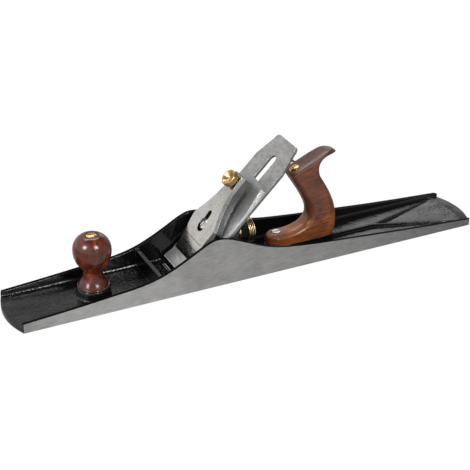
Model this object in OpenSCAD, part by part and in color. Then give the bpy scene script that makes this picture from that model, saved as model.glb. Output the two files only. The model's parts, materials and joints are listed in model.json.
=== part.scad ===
// Metal jointer plane with an adjustable frog, a screw-down lever cap and wooden handles.
// Origin at the centre of the sole on its working face, toe towards -X, +Z up.

/* [Sole casting] */
// Overall length of the sole
sole_len = 560; // [540:5:600]
// Width over the two cheeks
sole_w = 75; // [72:1:82]
// Thickness of each cheek
cheek_t = 4; // [3:0.25:5]
// Thickness of the sole plate
floor_t = 4.5; // [3.5:0.25:5.5]
// How far the toe's arc bulges past its corners
toe_bulge = 8.7; // [4:0.1:14]
// How far the heel's arc bulges past its corners
heel_bulge = 9.7; // [4:0.1:14]
// Width of the rim along the arcs of toe and heel
rim_w = 12; // [6:1:16]
// Height of the toe's rim over the sole plate
rim_h = 1; // [0.4:0.1:1.5]
// Height of the heel's rim at its edge, from the sole
heel_rim_z = 3; // [2.5:0.25:3.5]
// Height of the cheeks at the toe
toe_h = 10; // [9:0.5:13]
// Height of the cheeks at the crown
crown_h = 56.4; // [50:0.2:60]
// Height of the cheeks at the heel
heel_h = 6.8; // [6.6:0.1:10]
// Fillet between the sole plate and the cheeks
cheek_fillet = 4; // [2:0.5:6]
// Height of the cross rib ahead of the mouth
cross_rib_h = 25; // [16:0.5:26]
// Thickness of the cross rib
rib_t = 4; // [3:0.5:6]
// Thickness of the tail ribs
tail_rib_t = 2.5; // [2:0.25:4]
// Height of the tail ribs over the sole plate, at their fork
tail_rib_h = 3.5; // [2:0.5:6]
// Height of the tail ribs over the sole plate, at their ends
tail_rib_end_h = 1; // [0.5:0.25:2]
// Height of the bosses under knob and tote, from the sole
boss_top = 14; // [12:0.5:16]
// Opening of the mouth ahead of the cutting edge
mouth_gap = 2.6; // [1:0.1:4]

/* [Blade] */
// Distance from the toe's tip to the cutting edge
mouth_from_toe = 190.7; // [180:0.5:205]
// Pitch of the bed
bed_angle = 45; // [44:0.5:46]
// Width of the blade and its cap iron
blade_w = 60; // [56:0.5:62]
// Length of the blade
blade_len = 193; // [185:1:200]
// Thickness of the blade
blade_t = 3.2; // [2.5:0.1:3.6]
// Grinding angle of the bevel
bevel_angle = 25; // [23:1:35]
// Width of the blade's long slot
slot_w = 10.4; // [10.2:0.1:12]
// Thickness of the cap iron
cap_t = 3; // [2.5:0.1:3.4]
// Length of the cap iron along the bed
cap_len = 137.5; // [134:0.5:145]
// Height of the cap iron's hump over the blade
hump_h = 7.1; // [6.4:0.1:8]

/* [Lever cap] */
// Width of the lever cap across its nose
lever_nose_w = 56; // [50:0.5:58]
// Width of the lever cap across its upper end
lever_top_w = 23.2; // [22:0.2:30]
// Length of the lever cap along the bed
lever_len = 107.5; // [104:0.5:112]
// Diameter of the knurled thumb screw's head
thumb_head_d = 18.6; // [16:0.2:21]
// Diameter of the thumb screw's thread
thumb_thread_d = 8; // [6:0.5:9]
// Diameter of the lever cap screw's head
cap_head_d = 11.4; // [10.6:0.2:12.6]

/* [Frog and adjusters] */
// Width of the frog's bed
frog_w = 55; // [54:0.5:60]
// Height of the frog's seat on the casting
seat_h = 14.2; // [13.5:0.1:15]
// Diameter of the depth wheel
wheel_d = 28.5; // [26:0.5:31]
// Height of the depth stud's axis over the sole
stud_z = 39; // [38:0.25:40]
// Diameter of the depth stud
stud_d = 6; // [5:0.25:7]
// Width of the lateral lever's blade
lateral_w = 12; // [8:0.5:14]

/* [Knob] */
// Place of the knob, back from the toe's tip
knob_from_toe = 98.7; // [92:0.5:105]
// Largest diameter of the knob
knob_d = 41.2; // [36:0.2:44]
// Diameter of the knob's neck
knob_neck_d = 20; // [18:0.5:24]
// Diameter of the knob's foot
knob_foot_d = 35; // [32:0.5:38]
// Height of the knob
knob_h = 60.5; // [56:0.5:70]

/* [Tote] */
// Distance from the cutting edge to the tote's toe
tote_from_edge = 110; // [109:0.5:114]
// Thickness of the tote
tote_t = 24; // [21:0.5:27]
// Width of the flat left between the tote's rounded edges
tote_flat = 5; // [3:0.5:8]
// Lean of the tote's rod from upright
rod_lean = 25; // [23:0.5:26]

/* [Hidden] */
$fn = 64;

eps = 0.01;
big = 400;
run_gap = 0.05;   // radial clearance of a shaft in its bore
seat_gap = 0.3;   // clearance between loose curved faces
thread_gap = 0.05;

toe_x = -sole_len / 2;
heel_x = sole_len / 2;
edge_x = toe_x + mouth_from_toe;
inner_w = sole_w - 2 * cheek_t;
knob_x = toe_x + knob_from_toe;
tote_x = edge_x + tote_from_edge;

// Places along the bed, measured up from the line where the blade's face meets the sole plane
edge_lift = 0.3;
cap_set_back = 1.6;
bed_n = -blade_t - 0.05;
cap_screw_a = 50;
fulcrum_a = 66.5;
yoke_a = 90.7;
roller_a = 101;
rivet_a = 111;
frog_top_a = 118;
slot_low_a = 35;
slot_top_a = blade_len - 26.5;
slot_eye_d = slot_w + 5;
nose_a = 25.2;
nose_n = cap_t + 1.65;
thumb_a = 122.5;
lever_top_a = nose_a + lever_len;
hook_travel = 3.2;

function bez(p, t) = let (u = 1 - t)
  u * u * u * p[0] + 3 * u * u * t * p[1] + 3 * u * t * t * p[2] + t * t * t * p[3];
function bez_path(p, n) = [for (i = [0:n]) bez(p, i / n)];
function hermite_at(p, q, t) = let (w = q[0] - p[0], s = t * t, c = s * t)
  [p[0] + w * t, (2 * c - 3 * s + 1) * p[1] + (c - 2 * s + t) * w * p[2]
    + (3 * s - 2 * c) * q[1] + (c - s) * w * q[2]];
// Smooth line through knots of place, height and slope
function knot_line(k, n) = concat([for (i = [0:len(k) - 2]) for (j = [0:n - 1])
  hermite_at(k[i], k[i + 1], j / n)], [[k[len(k) - 1][0], k[len(k) - 1][1]]]);
function unit(v) = v / norm(v);
function rev(v) = [for (i = [len(v) - 1:-1:0]) v[i]];
// Left-hand normal of an open path at point i
function side(p, i) = let (d = unit(p[min(i + 1, len(p) - 1)] - p[max(i - 1, 0)])) [-d[1], d[0]];
// A strip of thickness t that lies under an open path
function strip(p, t) = concat(p, rev([for (i = [0:len(p) - 1]) p[i] - t * side(p, i)]));
function bed_pt(a, n) = [edge_x + a * cos(bed_angle) - n * sin(bed_angle),
  a * sin(bed_angle) + n * cos(bed_angle)];
// World x at which the plane n over the bed passes height z
function bed_x(n, z) = edge_x + (z * cos(bed_angle) - n) / sin(bed_angle);

module on_bed() translate([edge_x, 0, 0]) rotate([0, -bed_angle, 0]) children();
// Extrudes an x-z outline across the width w
module across(w) rotate([90, 0, 0]) translate([0, 0, -w / 2]) linear_extrude(w) children();
module slot_2d(a, b, d) {
  translate([a, 0]) circle(d = d);
  translate([b, 0]) circle(d = d);
  translate([a, -d / 2]) square([b - a, d]);
}
// Solid through rings that all have the same even count of points. Each end is closed by a ladder
// of quads between the first half of its ring and the second.
module loft(rings) {
  m = len(rings[0]);
  e = (len(rings) - 1) * m;
  polyhedron([for (r = rings) each r],
    concat([for (j = [0:m / 2 - 2]) [j, j + 1, m - 2 - j, m - 1 - j]],
      [for (j = [0:m / 2 - 2]) [e + m - 1 - j, e + m - 2 - j, e + j + 1, e + j]],
      [for (i = [0:len(rings) - 2]) for (j = [0:m - 1]) let (n = (j + 1) % m)
        [i * m + j, (i + 1) * m + j, (i + 1) * m + n, i * m + n]]));
}

// Casting
toe_r = (toe_bulge * toe_bulge + sole_w * sole_w / 4) / (2 * toe_bulge);
heel_r = (heel_bulge * heel_bulge + sole_w * sole_w / 4) / (2 * heel_bulge);
rim_z = floor_t + rim_h;
crown_x = edge_x + 36.5;
rib_x = edge_x - 30;
cheek_knots = [
  [toe_x, toe_h, 0.07], [knob_x, toe_h + 7.6, 0.1], [rib_x, 26.8, 0.33],
  [crown_x - 25, crown_h - 10, 0.55], [crown_x, crown_h, 0], [crown_x + 30, crown_h - 9.6, -0.46],
  [crown_x + 60, 33.8, -0.33], [crown_x + 110, 24.7, -0.115], [crown_x + 200, 16.6, -0.095],
  [heel_x, heel_h, -0.06]
];
boss_r = knob_foot_d / 2 + 0.6;
tote_len = 87.5;
vee_x = tote_x + tote_len + 53.5;
vee_angle = 17;
vee_arm = 96;
seat_back_x = bed_x(bed_n, seat_h) + 33;
frog_screw_x = bed_x(bed_n, seat_h) + 18.5;
frog_screw_y = 18;
frog_screw_d = 6;
adjust_z = floor_t + 4.2;
adjust_d = 5;
adjust_deep = 15;
mouth_back_gap = 0.5;

module plan_span(inset) {
  intersection() {
    square([big * 2, inner_w], center = true);
    union() {
      translate([toe_x + toe_r, 0]) intersection() {
        circle(r = toe_r - inset, $fn = 96);
        translate([-big, -big]) square([big, 2 * big]);
      }
      translate([heel_x - heel_r, 0]) intersection() {
        circle(r = heel_r - inset, $fn = 96);
        translate([0, -big]) square([big, 2 * big]);
      }
      translate([toe_x + toe_r - eps, -sole_w])
        square([sole_len - toe_r - heel_r + 2 * eps, 2 * sole_w]);
    }
  }
}
module sole_2d() {
  intersection() {
    square([sole_len, sole_w], center = true);
    union() {
      translate([toe_x + toe_r, 0]) circle(r = toe_r, $fn = 128);
      translate([heel_x - heel_r, 0]) circle(r = heel_r, $fn = 128);
      translate([toe_x + toe_r, -sole_w / 2]) square([sole_len - toe_r - heel_r, sole_w]);
    }
  }
}
module cheek_side() across(sole_w + 2) polygon(concat(
  [[toe_x - 1, -1], [toe_x - 1, toe_h]], knot_line(cheek_knots, 8), [[heel_x + 1, heel_h], [heel_x + 1, -1]]));
module cheek_fillets() {
  y = inner_w / 2;
  z = floor_t + cheek_fillet;
  arc = [for (i = [0:8]) [y - cheek_fillet * (1 - sin(i * 11.25)), z - cheek_fillet * cos(i * 11.25)]];
  for (s = [0, 1]) mirror([0, s, 0]) translate([toe_x, 0, 0]) rotate([90, 0, 90])
    linear_extrude(sole_len - heel_bulge - rim_w)
      polygon(concat([[y + 1, floor_t - 1], [y - cheek_fillet, floor_t - 1]], arc, [[y + 1, z]]));
}
module knob_boss() translate([knob_x, 0, floor_t - eps]) rotate_extrude() polygon([
  [0, 0], [boss_r + 1.6, 0], [boss_r + 0.5, 1.6], [boss_r, boss_top - floor_t - 1.5],
  [boss_r - 1.2, boss_top - floor_t], [0, boss_top - floor_t]]);
module tote_boss() translate([0, 0, floor_t - eps]) linear_extrude(boss_top - floor_t + eps)
  slot_2d(tote_x + 12.5, tote_x + tote_len - 9.5, tote_t - 3);
module tail_ribs() {
  h = floor_t + tail_rib_h;
  translate([tote_x + tote_len - 14, -tail_rib_t / 2, 0])
    cube([vee_x - tote_x - tote_len + 15, tail_rib_t, h]);
  for (s = [-1, 1]) translate([vee_x, 0, 0]) rotate([0, 0, s * vee_angle])
    across(tail_rib_t) polygon([[0, 0], [0, h], [vee_arm, floor_t + tail_rib_end_h], [vee_arm, 0]]);
}
module frog_seat() across(frog_w) polygon([
  [bed_x(bed_n, 0) - 4, 0], [bed_x(bed_n, seat_h) - 4, seat_h], [seat_back_x, seat_h],
  [seat_back_x, 0]]);
module mouth_cut() across(blade_w + 2) polygon([
  [edge_x - mouth_gap, -1], [bed_x(bed_n - mouth_back_gap, -1), -1],
  [bed_x(bed_n - mouth_back_gap, seat_h + 4), seat_h + 4], [edge_x - mouth_gap, seat_h + 4]]);

module pocket() {
  translate([toe_x - 2, -inner_w / 2, rim_z]) cube([sole_len + 4, inner_w, big]);
  translate([0, 0, floor_t]) linear_extrude(rim_h + 1) plan_span(rim_w);
  heel_slope();
}
// The heel's rim slopes down towards its edge
module heel_slope() intersection() {
  slope = (rim_z - heel_rim_z) / rim_w;
  translate([heel_x - heel_r, 0, 0]) rotate_extrude($fn = 128) polygon([
    [heel_r - rim_w - 1, rim_z + slope], [heel_r + 1, heel_rim_z - slope], [heel_r + 1, crown_h],
    [heel_r - rim_w - 1, crown_h]]);
  translate([heel_x - heel_bulge - rim_w, -inner_w / 2, 0]) cube([heel_bulge + rim_w + 2, inner_w, crown_h]);
}
module casting() color("dimgray") difference() {
  intersection() {
    cheek_side();
    linear_extrude(big) sole_2d();
  }
  difference() {
    pocket();
    cheek_fillets();
    tail_ribs();
    translate([rib_x, -sole_w / 2 + 1, 0]) cube([rib_t, sole_w - 2, cross_rib_h]);
    knob_boss();
    tote_boss();
    frog_seat();
  }
  mouth_cut();
  translate([knob_x, 0, floor_t - 2]) cylinder(r = knob_stud_d / 2 + thread_gap, h = boss_top);
  translate([tote_x + toe_screw_in, 0, floor_t]) cylinder(r = toe_screw_d / 2 + thread_gap, h = boss_top);
  rod_frame() translate([0, 0, -rod_deep - 1]) cylinder(r = rod_d / 2 + thread_gap, h = 20);
  for (s = [-1, 1]) translate([frog_screw_x, s * frog_screw_y, 2.5])
    cylinder(r = frog_screw_d / 2 + thread_gap, h = seat_h);
  translate([seat_back_x - adjust_deep, 0, adjust_z]) rotate([0, 90, 0])
    cylinder(r = adjust_d / 2 + thread_gap, h = adjust_deep + 1);
}

// Frog
frog_travel = 1.5;
frog_back_x = seat_back_x + 12;
frog_plate = 9.5;
frog_knee = [frog_back_x - 6, stud_z + 7];
frog_foot_t = 7.3;
washer_t = 1.5;
screw_head_h = 4;
screw_head_d = 10.5;
washer_d = 12.6;
recess_w = 19;
recess_deep = 3.8;
yoke_w = 9;
yoke_slot_w = yoke_w + 1;
fulcrum_d = 5.8;
fulcrum_deep = 9.5;
pin_d = 3;
pin_n = bed_n - 5.4;
frog_outline = [
  bed_pt((seat_h - bed_n * cos(bed_angle)) / sin(bed_angle), bed_n),
  bed_pt(frog_top_a, bed_n), bed_pt(frog_top_a, bed_n - frog_plate + 2),
  bed_pt(frog_top_a - 3, bed_n - frog_plate),
  [frog_knee[0] + 2, (frog_knee[0] + 2 - edge_x) * tan(bed_angle) + (bed_n - frog_plate) / cos(bed_angle)],
  frog_knee, [frog_back_x, stud_z - 8], [frog_back_x, seat_h]
];
module frog_width() on_bed() translate([0, 0, -60]) linear_extrude(80) polygon([
  [0, -frog_w / 2], [76, -frog_w / 2], [94, -16], [frog_top_a + 1, -13],
  [frog_top_a + 1, 13], [94, 16], [76, frog_w / 2], [0, frog_w / 2]]);
module frog() color("#2b2b2d") difference() {
  intersection() {
    across(frog_w + 2) polygon(frog_outline);
    frog_width();
  }
  // hollows between the frog's side webs, open at the back
  for (s = [-1, 1]) translate([0, s * 15.5, 0]) across(13) polygon([
    [frog_screw_x + 13, seat_h + frog_foot_t], [frog_back_x + 1, seat_h + frog_foot_t],
    [frog_back_x + 1, frog_knee[1] + 1], [bed_x(bed_n - 7, frog_knee[1] + 1), frog_knee[1] + 1],
    [bed_x(bed_n - 7, seat_h + 20), seat_h + 20]]);
  for (s = [-1, 1]) translate([frog_screw_x, s * frog_screw_y, 0]) {
    translate([0, 0, seat_h + frog_foot_t]) linear_extrude(40)
      slot_2d(-frog_travel - 0.1, frog_travel + 0.1, washer_d + 1.2);
    linear_extrude(40) slot_2d(-frog_travel - 0.1, frog_travel + 0.1, frog_screw_d + 1);
  }
  on_bed() {
    translate([cap_screw_a - 12, -recess_w / 2, bed_n - recess_deep]) cube([26, recess_w, 20]);
    translate([fulcrum_a, 0, -fulcrum_deep - 0.5]) cylinder(r = fulcrum_d / 2 + thread_gap, h = 30);
    translate([roller_a - 8, -lateral_w / 2 - 3, bed_n - 2.4]) cube([40, lateral_w + 6, 20]);
    translate([rivet_a, 0, -20]) cylinder(r = rivet_d / 2 + run_gap, h = 30);
  }
  on_bed() translate([yoke_a - 7, -yoke_slot_w / 2, -30]) cube([14.5, yoke_slot_w, 31]);
  translate([bed_pt(yoke_a, pin_n)[0], 0, bed_pt(yoke_a, pin_n)[1]]) rotate([90, 0, 0])
    cylinder(r = pin_d / 2 + run_gap, h = 26, center = true);
  translate([frog_back_x - stud_deep - 0.5, 0, stud_z]) rotate([0, 90, 0])
    cylinder(r = stud_d / 2 + thread_gap, h = 20);
  translate([frog_back_x - 10, 0, clip_screw_z]) rotate([0, 90, 0])
    cylinder(r = clip_screw_d / 2 + thread_gap, h = 20);
}

module slotted_head(d, h, slot = 1.4) difference() {
  cylinder(d = d, h = h);
  translate([-d, -slot / 2, h * 0.55]) cube([2 * d, slot, h]);
}
module frog_screws() color("silver") for (s = [-1, 1])
  translate([frog_screw_x, s * frog_screw_y, 3]) {
    cylinder(d = frog_screw_d, h = seat_h + frog_foot_t + washer_t - 3 + eps);
    translate([0, 0, seat_h + frog_foot_t + washer_t - 3]) slotted_head(screw_head_d, screw_head_h);
  }
module frog_washers() color("gainsboro") for (s = [-1, 1])
  translate([frog_screw_x, s * frog_screw_y, seat_h + frog_foot_t]) difference() {
    cylinder(d = washer_d, h = washer_t);
    translate([0, 0, -1]) cylinder(r = frog_screw_d / 2 + run_gap, h = washer_t + 2);
  }

// Frog adjusting screw, its clip and the clip's screw
clip_t = 1.4;
clip_gap = 0.2;
clip_screw_z = seat_h + 8;
clip_screw_d = 3.5;
adjust_groove_d = 3.4;
adjust_head_d = 7.4;
module along_x(x, z) translate([x, 0, z]) rotate([0, 90, 0]) children();
module frog_adjust_screw() color("silver") {
  x0 = seat_back_x - adjust_deep + frog_travel + 1;
  x1 = frog_back_x - 0.3;
  x2 = frog_back_x + clip_t + 2 * clip_gap;
  along_x(x0, adjust_z) cylinder(d = adjust_d, h = x1 - x0);
  along_x(x1 - eps, adjust_z) cylinder(d = adjust_groove_d, h = x2 - x1 + 2 * eps);
  along_x(x2, adjust_z) rotate([0, 0, 90]) slotted_head(adjust_head_d, 4);
}
module frog_adjust_clip() color("dimgray")
  translate([frog_back_x, 0, 0]) rotate([90, 0, 90]) linear_extrude(clip_t) difference() {
    union() {
      translate([0, clip_screw_z]) circle(r = 5);
      translate([-5, adjust_z - 1.5]) square([10, clip_screw_z - adjust_z + 1.5]);
    }
    translate([0, clip_screw_z]) circle(r = clip_screw_d / 2 + 0.1);
    translate([0, adjust_z]) circle(r = adjust_groove_d / 2 + seat_gap);
    translate([-adjust_groove_d / 2 - seat_gap, adjust_z - 10]) square([adjust_groove_d + 2 * seat_gap, 10]);
  }
module frog_clip_screw() color("silver") {
  along_x(frog_back_x - 9, clip_screw_z) cylinder(d = clip_screw_d, h = 9 + clip_t + eps);
  along_x(frog_back_x + clip_t, clip_screw_z) slotted_head(6.5, 2.2, 1);
}

// Depth adjuster
groove_x = frog_back_x + 17.4;
groove_w = 7.2;
groove_d = 12;
flange_d = 18;
flange_t = 2.4;
wheel_t = 8;
hub_t = 2.5;
stud_deep = 6.5;
module depth_stud() color("silver") along_x(frog_back_x - stud_deep, stud_z)
  cylinder(d = stud_d, h = groove_x - frog_back_x + stud_deep + groove_w / 2 + wheel_t + hub_t - 0.5);
module depth_nut() color("goldenrod") difference() {
  along_x(groove_x, stud_z) rotate_extrude() difference() {
    polygon([
      [0, -groove_w / 2 - flange_t], [flange_d / 2, -groove_w / 2 - flange_t],
      [flange_d / 2, -groove_w / 2], [groove_d / 2, -groove_w / 2], [groove_d / 2, groove_w / 2],
      [wheel_d / 2 - 1, groove_w / 2], [wheel_d / 2, groove_w / 2 + 0.8],
      [wheel_d / 2, groove_w / 2 + wheel_t - 0.8], [wheel_d / 2 - 1, groove_w / 2 + wheel_t],
      [flange_d / 2, groove_w / 2 + wheel_t], [flange_d / 2 - 1.5, groove_w / 2 + wheel_t + hub_t],
      [0, groove_w / 2 + wheel_t + hub_t]]);
    for (k = [1, 2]) translate([wheel_d / 2, groove_w / 2 + k * wheel_t / 3]) circle(d = 1.8, $fn = 16);
  }
  along_x(groove_x - 30, stud_z) cylinder(r = stud_d / 2 + run_gap, h = 60);
}
yoke_pin_at = bed_pt(yoke_a, pin_n);
prong_t = 3;
yoke_bridge_z = stud_z + flange_d / 2 + 2.6;
yoke_bridge_h = 3;
module yoke_side() {
  polygon([bed_pt(yoke_a - 1.3, 2), bed_pt(yoke_a + 1.3, 2), bed_pt(yoke_a + 3.4, pin_n),
    bed_pt(yoke_a - 3.4, pin_n)]);
  translate(yoke_pin_at) circle(d = 7);
}
module yoke() color("#3a3a3c") difference() {
  top = yoke_bridge_z + yoke_bridge_h;
  union() {
    across(yoke_w - 1) yoke_side();
    across(yoke_w) {
      translate(yoke_pin_at) circle(d = 7);
      polygon([yoke_pin_at + [3.3, 1.2], yoke_pin_at + [-1.8, -3], [groove_x - 5, yoke_bridge_z],
        [groove_x - 1.5, top]]);
    }
    for (s = [-1, 1]) translate([0, s * (groove_d / 2 + seat_gap + prong_t / 2), 0]) across(prong_t) {
      translate([groove_x, stud_z]) circle(d = groove_w - 0.9);
      polygon([[groove_x - groove_w / 2 + 0.5, stud_z], [groove_x + groove_w / 2 - 0.5, stud_z],
        [groove_x + 1.6, top], [groove_x - 2.4, top]]);
    }
    across(groove_d + 2 * seat_gap + 2 * prong_t) polygon([[groove_x - 5, yoke_bridge_z],
      [groove_x + 1.6, yoke_bridge_z], [groove_x + 1.6, top], [groove_x - 5, top]]);
  }
  translate([yoke_pin_at[0], 0, yoke_pin_at[1]]) rotate([90, 0, 0])
    cylinder(r = pin_d / 2 + run_gap, h = 40, center = true);
}
module yoke_pin() color("silver") translate([yoke_pin_at[0], 0, yoke_pin_at[1]]) rotate([90, 0, 0])
  cylinder(d = pin_d, h = 25, center = true);

// Lateral lever, in a shallow recess at the frog's head
lateral_t = 2;
lateral_n = bed_n - 0.2;
lateral_tip_a = blade_len - 4.5;
rivet_d = 5;
roller_d = slot_w - 1.4;
roller_pin_d = 3;
lateral_path = concat([[roller_a - 5, lateral_n], [rivet_a + 6, lateral_n]],
  bez_path([[rivet_a + 8, lateral_n - 0.2], [rivet_a + 13, lateral_n - 2], [rivet_a + 15, lateral_n - 8.5],
    [rivet_a + 22, lateral_n - 9]], 8),
  [[lateral_tip_a - 12, lateral_n - 9]],
  bez_path([[lateral_tip_a - 8, lateral_n - 9.2], [lateral_tip_a - 3, lateral_n - 9.6],
    [lateral_tip_a, lateral_n - 11], [lateral_tip_a + 0.5, lateral_n - 15]], 6));
module lateral_lever() color("#9a9a98") on_bed() difference() {
  intersection() {
    across(frog_w) polygon(strip(lateral_path, lateral_t));
    translate([0, 0, -frog_w]) linear_extrude(2 * frog_w) union() {
      slot_2d(roller_a, rivet_a, lateral_w);
      polygon([[rivet_a, -lateral_w / 2], [rivet_a + 14, -lateral_w / 2 + 1.5],
        [lateral_tip_a - 14, -lateral_w / 2 + 1.5], [lateral_tip_a - 7, -9.5], [lateral_tip_a + 6, -9.5],
        [lateral_tip_a + 6, 9.5], [lateral_tip_a - 7, 9.5], [lateral_tip_a - 14, lateral_w / 2 - 1.5],
        [rivet_a + 14, lateral_w / 2 - 1.5], [rivet_a, lateral_w / 2]]);
    }
  }
  translate([rivet_a, 0, -frog_w / 2]) cylinder(r = rivet_d / 2 + run_gap, h = frog_w);
  translate([roller_a, 0, -frog_w / 2]) cylinder(r = roller_pin_d / 2 + run_gap, h = frog_w);
}
module lateral_roller() color("silver") on_bed() translate([roller_a, 0, 0]) {
  translate([0, 0, lateral_n - lateral_t + 0.1]) cylinder(d = roller_pin_d, h = lateral_t);
  translate([0, 0, lateral_n + 0.1]) cylinder(d = roller_d, h = blade_t - 0.3);
}
module lateral_rivet() color("silver") on_bed() translate([rivet_a, 0, 0]) {
  translate([0, 0, bed_n - frog_plate + 1.5]) cylinder(d = rivet_d, h = frog_plate - 1.7);
}

// Blade, cap iron and their screw
module blade_2d() {
  h = blade_w / 2;
  difference() {
    union() {
      polygon([[edge_lift, -h], [blade_len - 32, -h], [blade_len - 4.5, -h + 8.8], [blade_len, -h + 14],
        [blade_len, h - 14], [blade_len - 4.5, h - 8.8], [blade_len - 32, h], [edge_lift, h]]);
      for (s = [-1, 1]) translate([blade_len - 6, s * (h - 14)]) circle(r = 6, $fn = 32);
    }
    slot_2d(slot_low_a, slot_top_a, slot_w);
    translate([slot_low_a, 0]) circle(d = slot_eye_d);
  }
}
module blade() color("#b9b9b6") on_bed() difference() {
  translate([0, 0, -blade_t]) linear_extrude(blade_t) blade_2d();
  across(blade_w + 2) polygon([[edge_lift, 0], [edge_lift - 8, 0], [edge_lift - 8, -blade_t - 1],
    [edge_lift + (blade_t + 1) / tan(bevel_angle), -blade_t - 1]]);
}
cap_low_a = edge_lift + cap_set_back;
hump_a = 10.6;
cap_top_line = concat(
  bez_path([[cap_low_a, 0.5], [cap_low_a + 1.2, 4.2], [hump_a - 4.2, hump_h], [hump_a, hump_h]], 10),
  bez_path([[hump_a + 1.5, hump_h - 0.15], [hump_a + 6, hump_h - 0.8], [19, nose_n], [21.6, nose_n]], 6),
  [[31, nose_n]],
  bez_path([[32, nose_n - 0.05], [36, nose_n - 0.2], [38, cap_t], [43, cap_t]], 6));
cap_low_line = concat([[43, 0], [36.5, 0.9], [31, nose_n - cap_t + 0.25], [21.8, nose_n - cap_t + 0.25]],
  rev(bez_path([[cap_low_a + 0.6, 0], [cap_low_a + 3.4, 2.6], [hump_a - 3.6, hump_h - cap_t],
    [hump_a + 1, hump_h - cap_t]], 8)));
cap_end_a = cap_low_a + cap_len;
module cap_2d() {
  h = blade_w / 2;
  intersection() {
    polygon([[0, -h], [103, -h], [cap_end_a - 4, -h + 7.2], [cap_end_a + 9, -h + 10],
      [cap_end_a + 9, h - 10], [cap_end_a - 4, h - 7.2], [103, h], [0, h]]);
    translate([cap_end_a - 62, 0]) circle(r = 62, $fn = 128);
  }
}
module cap_iron() color("#8e9092") on_bed() difference() {
  union() {
    intersection() {
      across(blade_w) polygon(concat(cap_top_line, cap_low_line));
      translate([0, -blade_w / 2, -5]) cube([90, blade_w, 30]);
    }
    intersection() {
      linear_extrude(cap_t) cap_2d();
      translate([43 - eps, -blade_w, 0]) cube([200, 2 * blade_w, 20]);
    }
  }
  translate([cap_screw_a, 0, -5]) cylinder(r = cap_screw_d / 2 + thread_gap, h = 20);
  translate([0, 0, -5]) linear_extrude(30) slot_2d(fulcrum_a - hook_travel, fulcrum_a + 4, cap_head_d + 1);
  translate([yoke_a - 1.9, -yoke_w / 2, -5]) cube([3.8, yoke_w, 20]);
}
cap_screw_d = 8;
cap_screw_head_d = 15;
module cap_iron_screw() color("#8f8f8d") on_bed() translate([cap_screw_a, 0, 0]) {
  translate([0, 0, bed_n + 0.05 - eps]) cylinder(d = cap_screw_d, h = blade_t + cap_t + eps);
  rotate([180, 0, 0]) translate([0, 0, blade_t]) slotted_head(cap_screw_head_d, 3, 2);
}

// Lever cap
lever_w_knots = [
  [nose_a, lever_nose_w / 2, 0], [60, lever_nose_w / 2, 0], [77, lever_nose_w / 2 - 4.4, -0.62],
  [92, lever_top_w / 2 + 5.2, -0.36], [110, lever_top_w / 2 + 0.6, -0.1],
  [lever_top_a, lever_top_w / 2, 0]
];
lever_top_knots = [
  [nose_a, nose_n + 1.1, 0.42], [37, 10.2, 0.36], [47, 13.3, 0.25], [75, 18, 0.12],
  [lever_top_a, 21.6, 0.02]
];
function knots_at(k, x, i = 0) = i >= len(k) - 2 || x <= k[i + 1][0]
  ? hermite_at(k[i], k[i + 1], (x - k[i][0]) / (k[i + 1][0] - k[i][0]))[1]
  : knots_at(k, x, i + 1);
function lever_top(a) = knots_at(lever_top_knots, a);
function lever_w(a) = knots_at(lever_w_knots, a);
function lever_low(a) = nose_n + 0.08 + max(0, a - nose_a - 3) * 0.048;
function lever_bevel(a) = min(lookup(a, [[nose_a, 1], [47, 6], [58, 3], [lever_top_a, 3.4]]),
  lever_w(a) - 4);
lever_steps = 30;
pocket_n = lever_top(fulcrum_a) - 4.2;
function lever_ring(a, inset, drop) = let (w = lever_w(a) - inset, t = lever_top(a) - drop,
  b = drop > 0 ? lever_low(a) - 3 : lever_low(a), c = max(lever_bevel(a) - inset / 2, 0.4),
  d = min(c, (t - b) * 0.6))
  [[a, w, b], [a, w, t - d], [a, w - c, t], [a, c - w, t], [a, -w, t - d], [a, -w, b]];
module lever_cap() color("#c9c7c0") on_bed() difference() {
  loft([for (i = [0:lever_steps]) lever_ring(nose_a + i * lever_len / lever_steps, 0, 0)]);
  // hollow back, on both sides of the fulcrum's web
  loft([for (i = [0:6]) lever_ring(36 + i * 2.6, 5, 4.5)]);
  loft([for (i = [0:8]) lever_ring(82 + i * 3.6, 4, 5)]);
  translate([fulcrum_a - hook_travel, 0, 0]) cylinder(d = cap_head_d + 0.8, h = 40);
  linear_extrude(40) slot_2d(fulcrum_a - hook_travel, fulcrum_a + 13, fulcrum_d + 0.8);
  translate([0, 0, pocket_n]) linear_extrude(20) slot_2d(fulcrum_a - hook_travel, fulcrum_a, cap_head_d + 0.8);
  translate([thumb_a, 0, 0]) cylinder(r = thumb_thread_d / 2 + run_gap, h = 40);
}
module lever_cap_screw() color("gainsboro") on_bed() translate([fulcrum_a, 0, 0]) {
  translate([0, 0, -fulcrum_deep]) cylinder(d = fulcrum_d, h = pocket_n + fulcrum_deep + 0.1);
  translate([0, 0, pocket_n + 0.05]) intersection() {
    slotted_head(cap_head_d, 3.4, 1.8);
    translate([0, 0, -8.2]) sphere(r = 12, $fn = 48);
  }
}
thumb_low_n = lever_top(thumb_a) + 2.4;
module thumb_screw() color("goldenrod") on_bed() translate([thumb_a, 0, 0]) difference() {
  union() {
    translate([0, 0, cap_t + 0.1]) cylinder(d = thumb_thread_d, h = thumb_low_n - cap_t);
    translate([0, 0, lever_top(thumb_a) + 0.3]) cylinder(d = thumb_thread_d + 4, h = 3);
    translate([0, 0, thumb_low_n]) rotate_extrude() polygon([[0, 0], [thumb_head_d / 2 - 1, 0],
      [thumb_head_d / 2, 1], [thumb_head_d / 2, 6], [thumb_head_d / 2 - 1, 7], [0, 7]]);
  }
  translate([0, 0, thumb_low_n + 3.5]) cylinder(r1 = 2.4, r2 = thumb_head_d / 2 - 2, h = 3.51);
}

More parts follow.
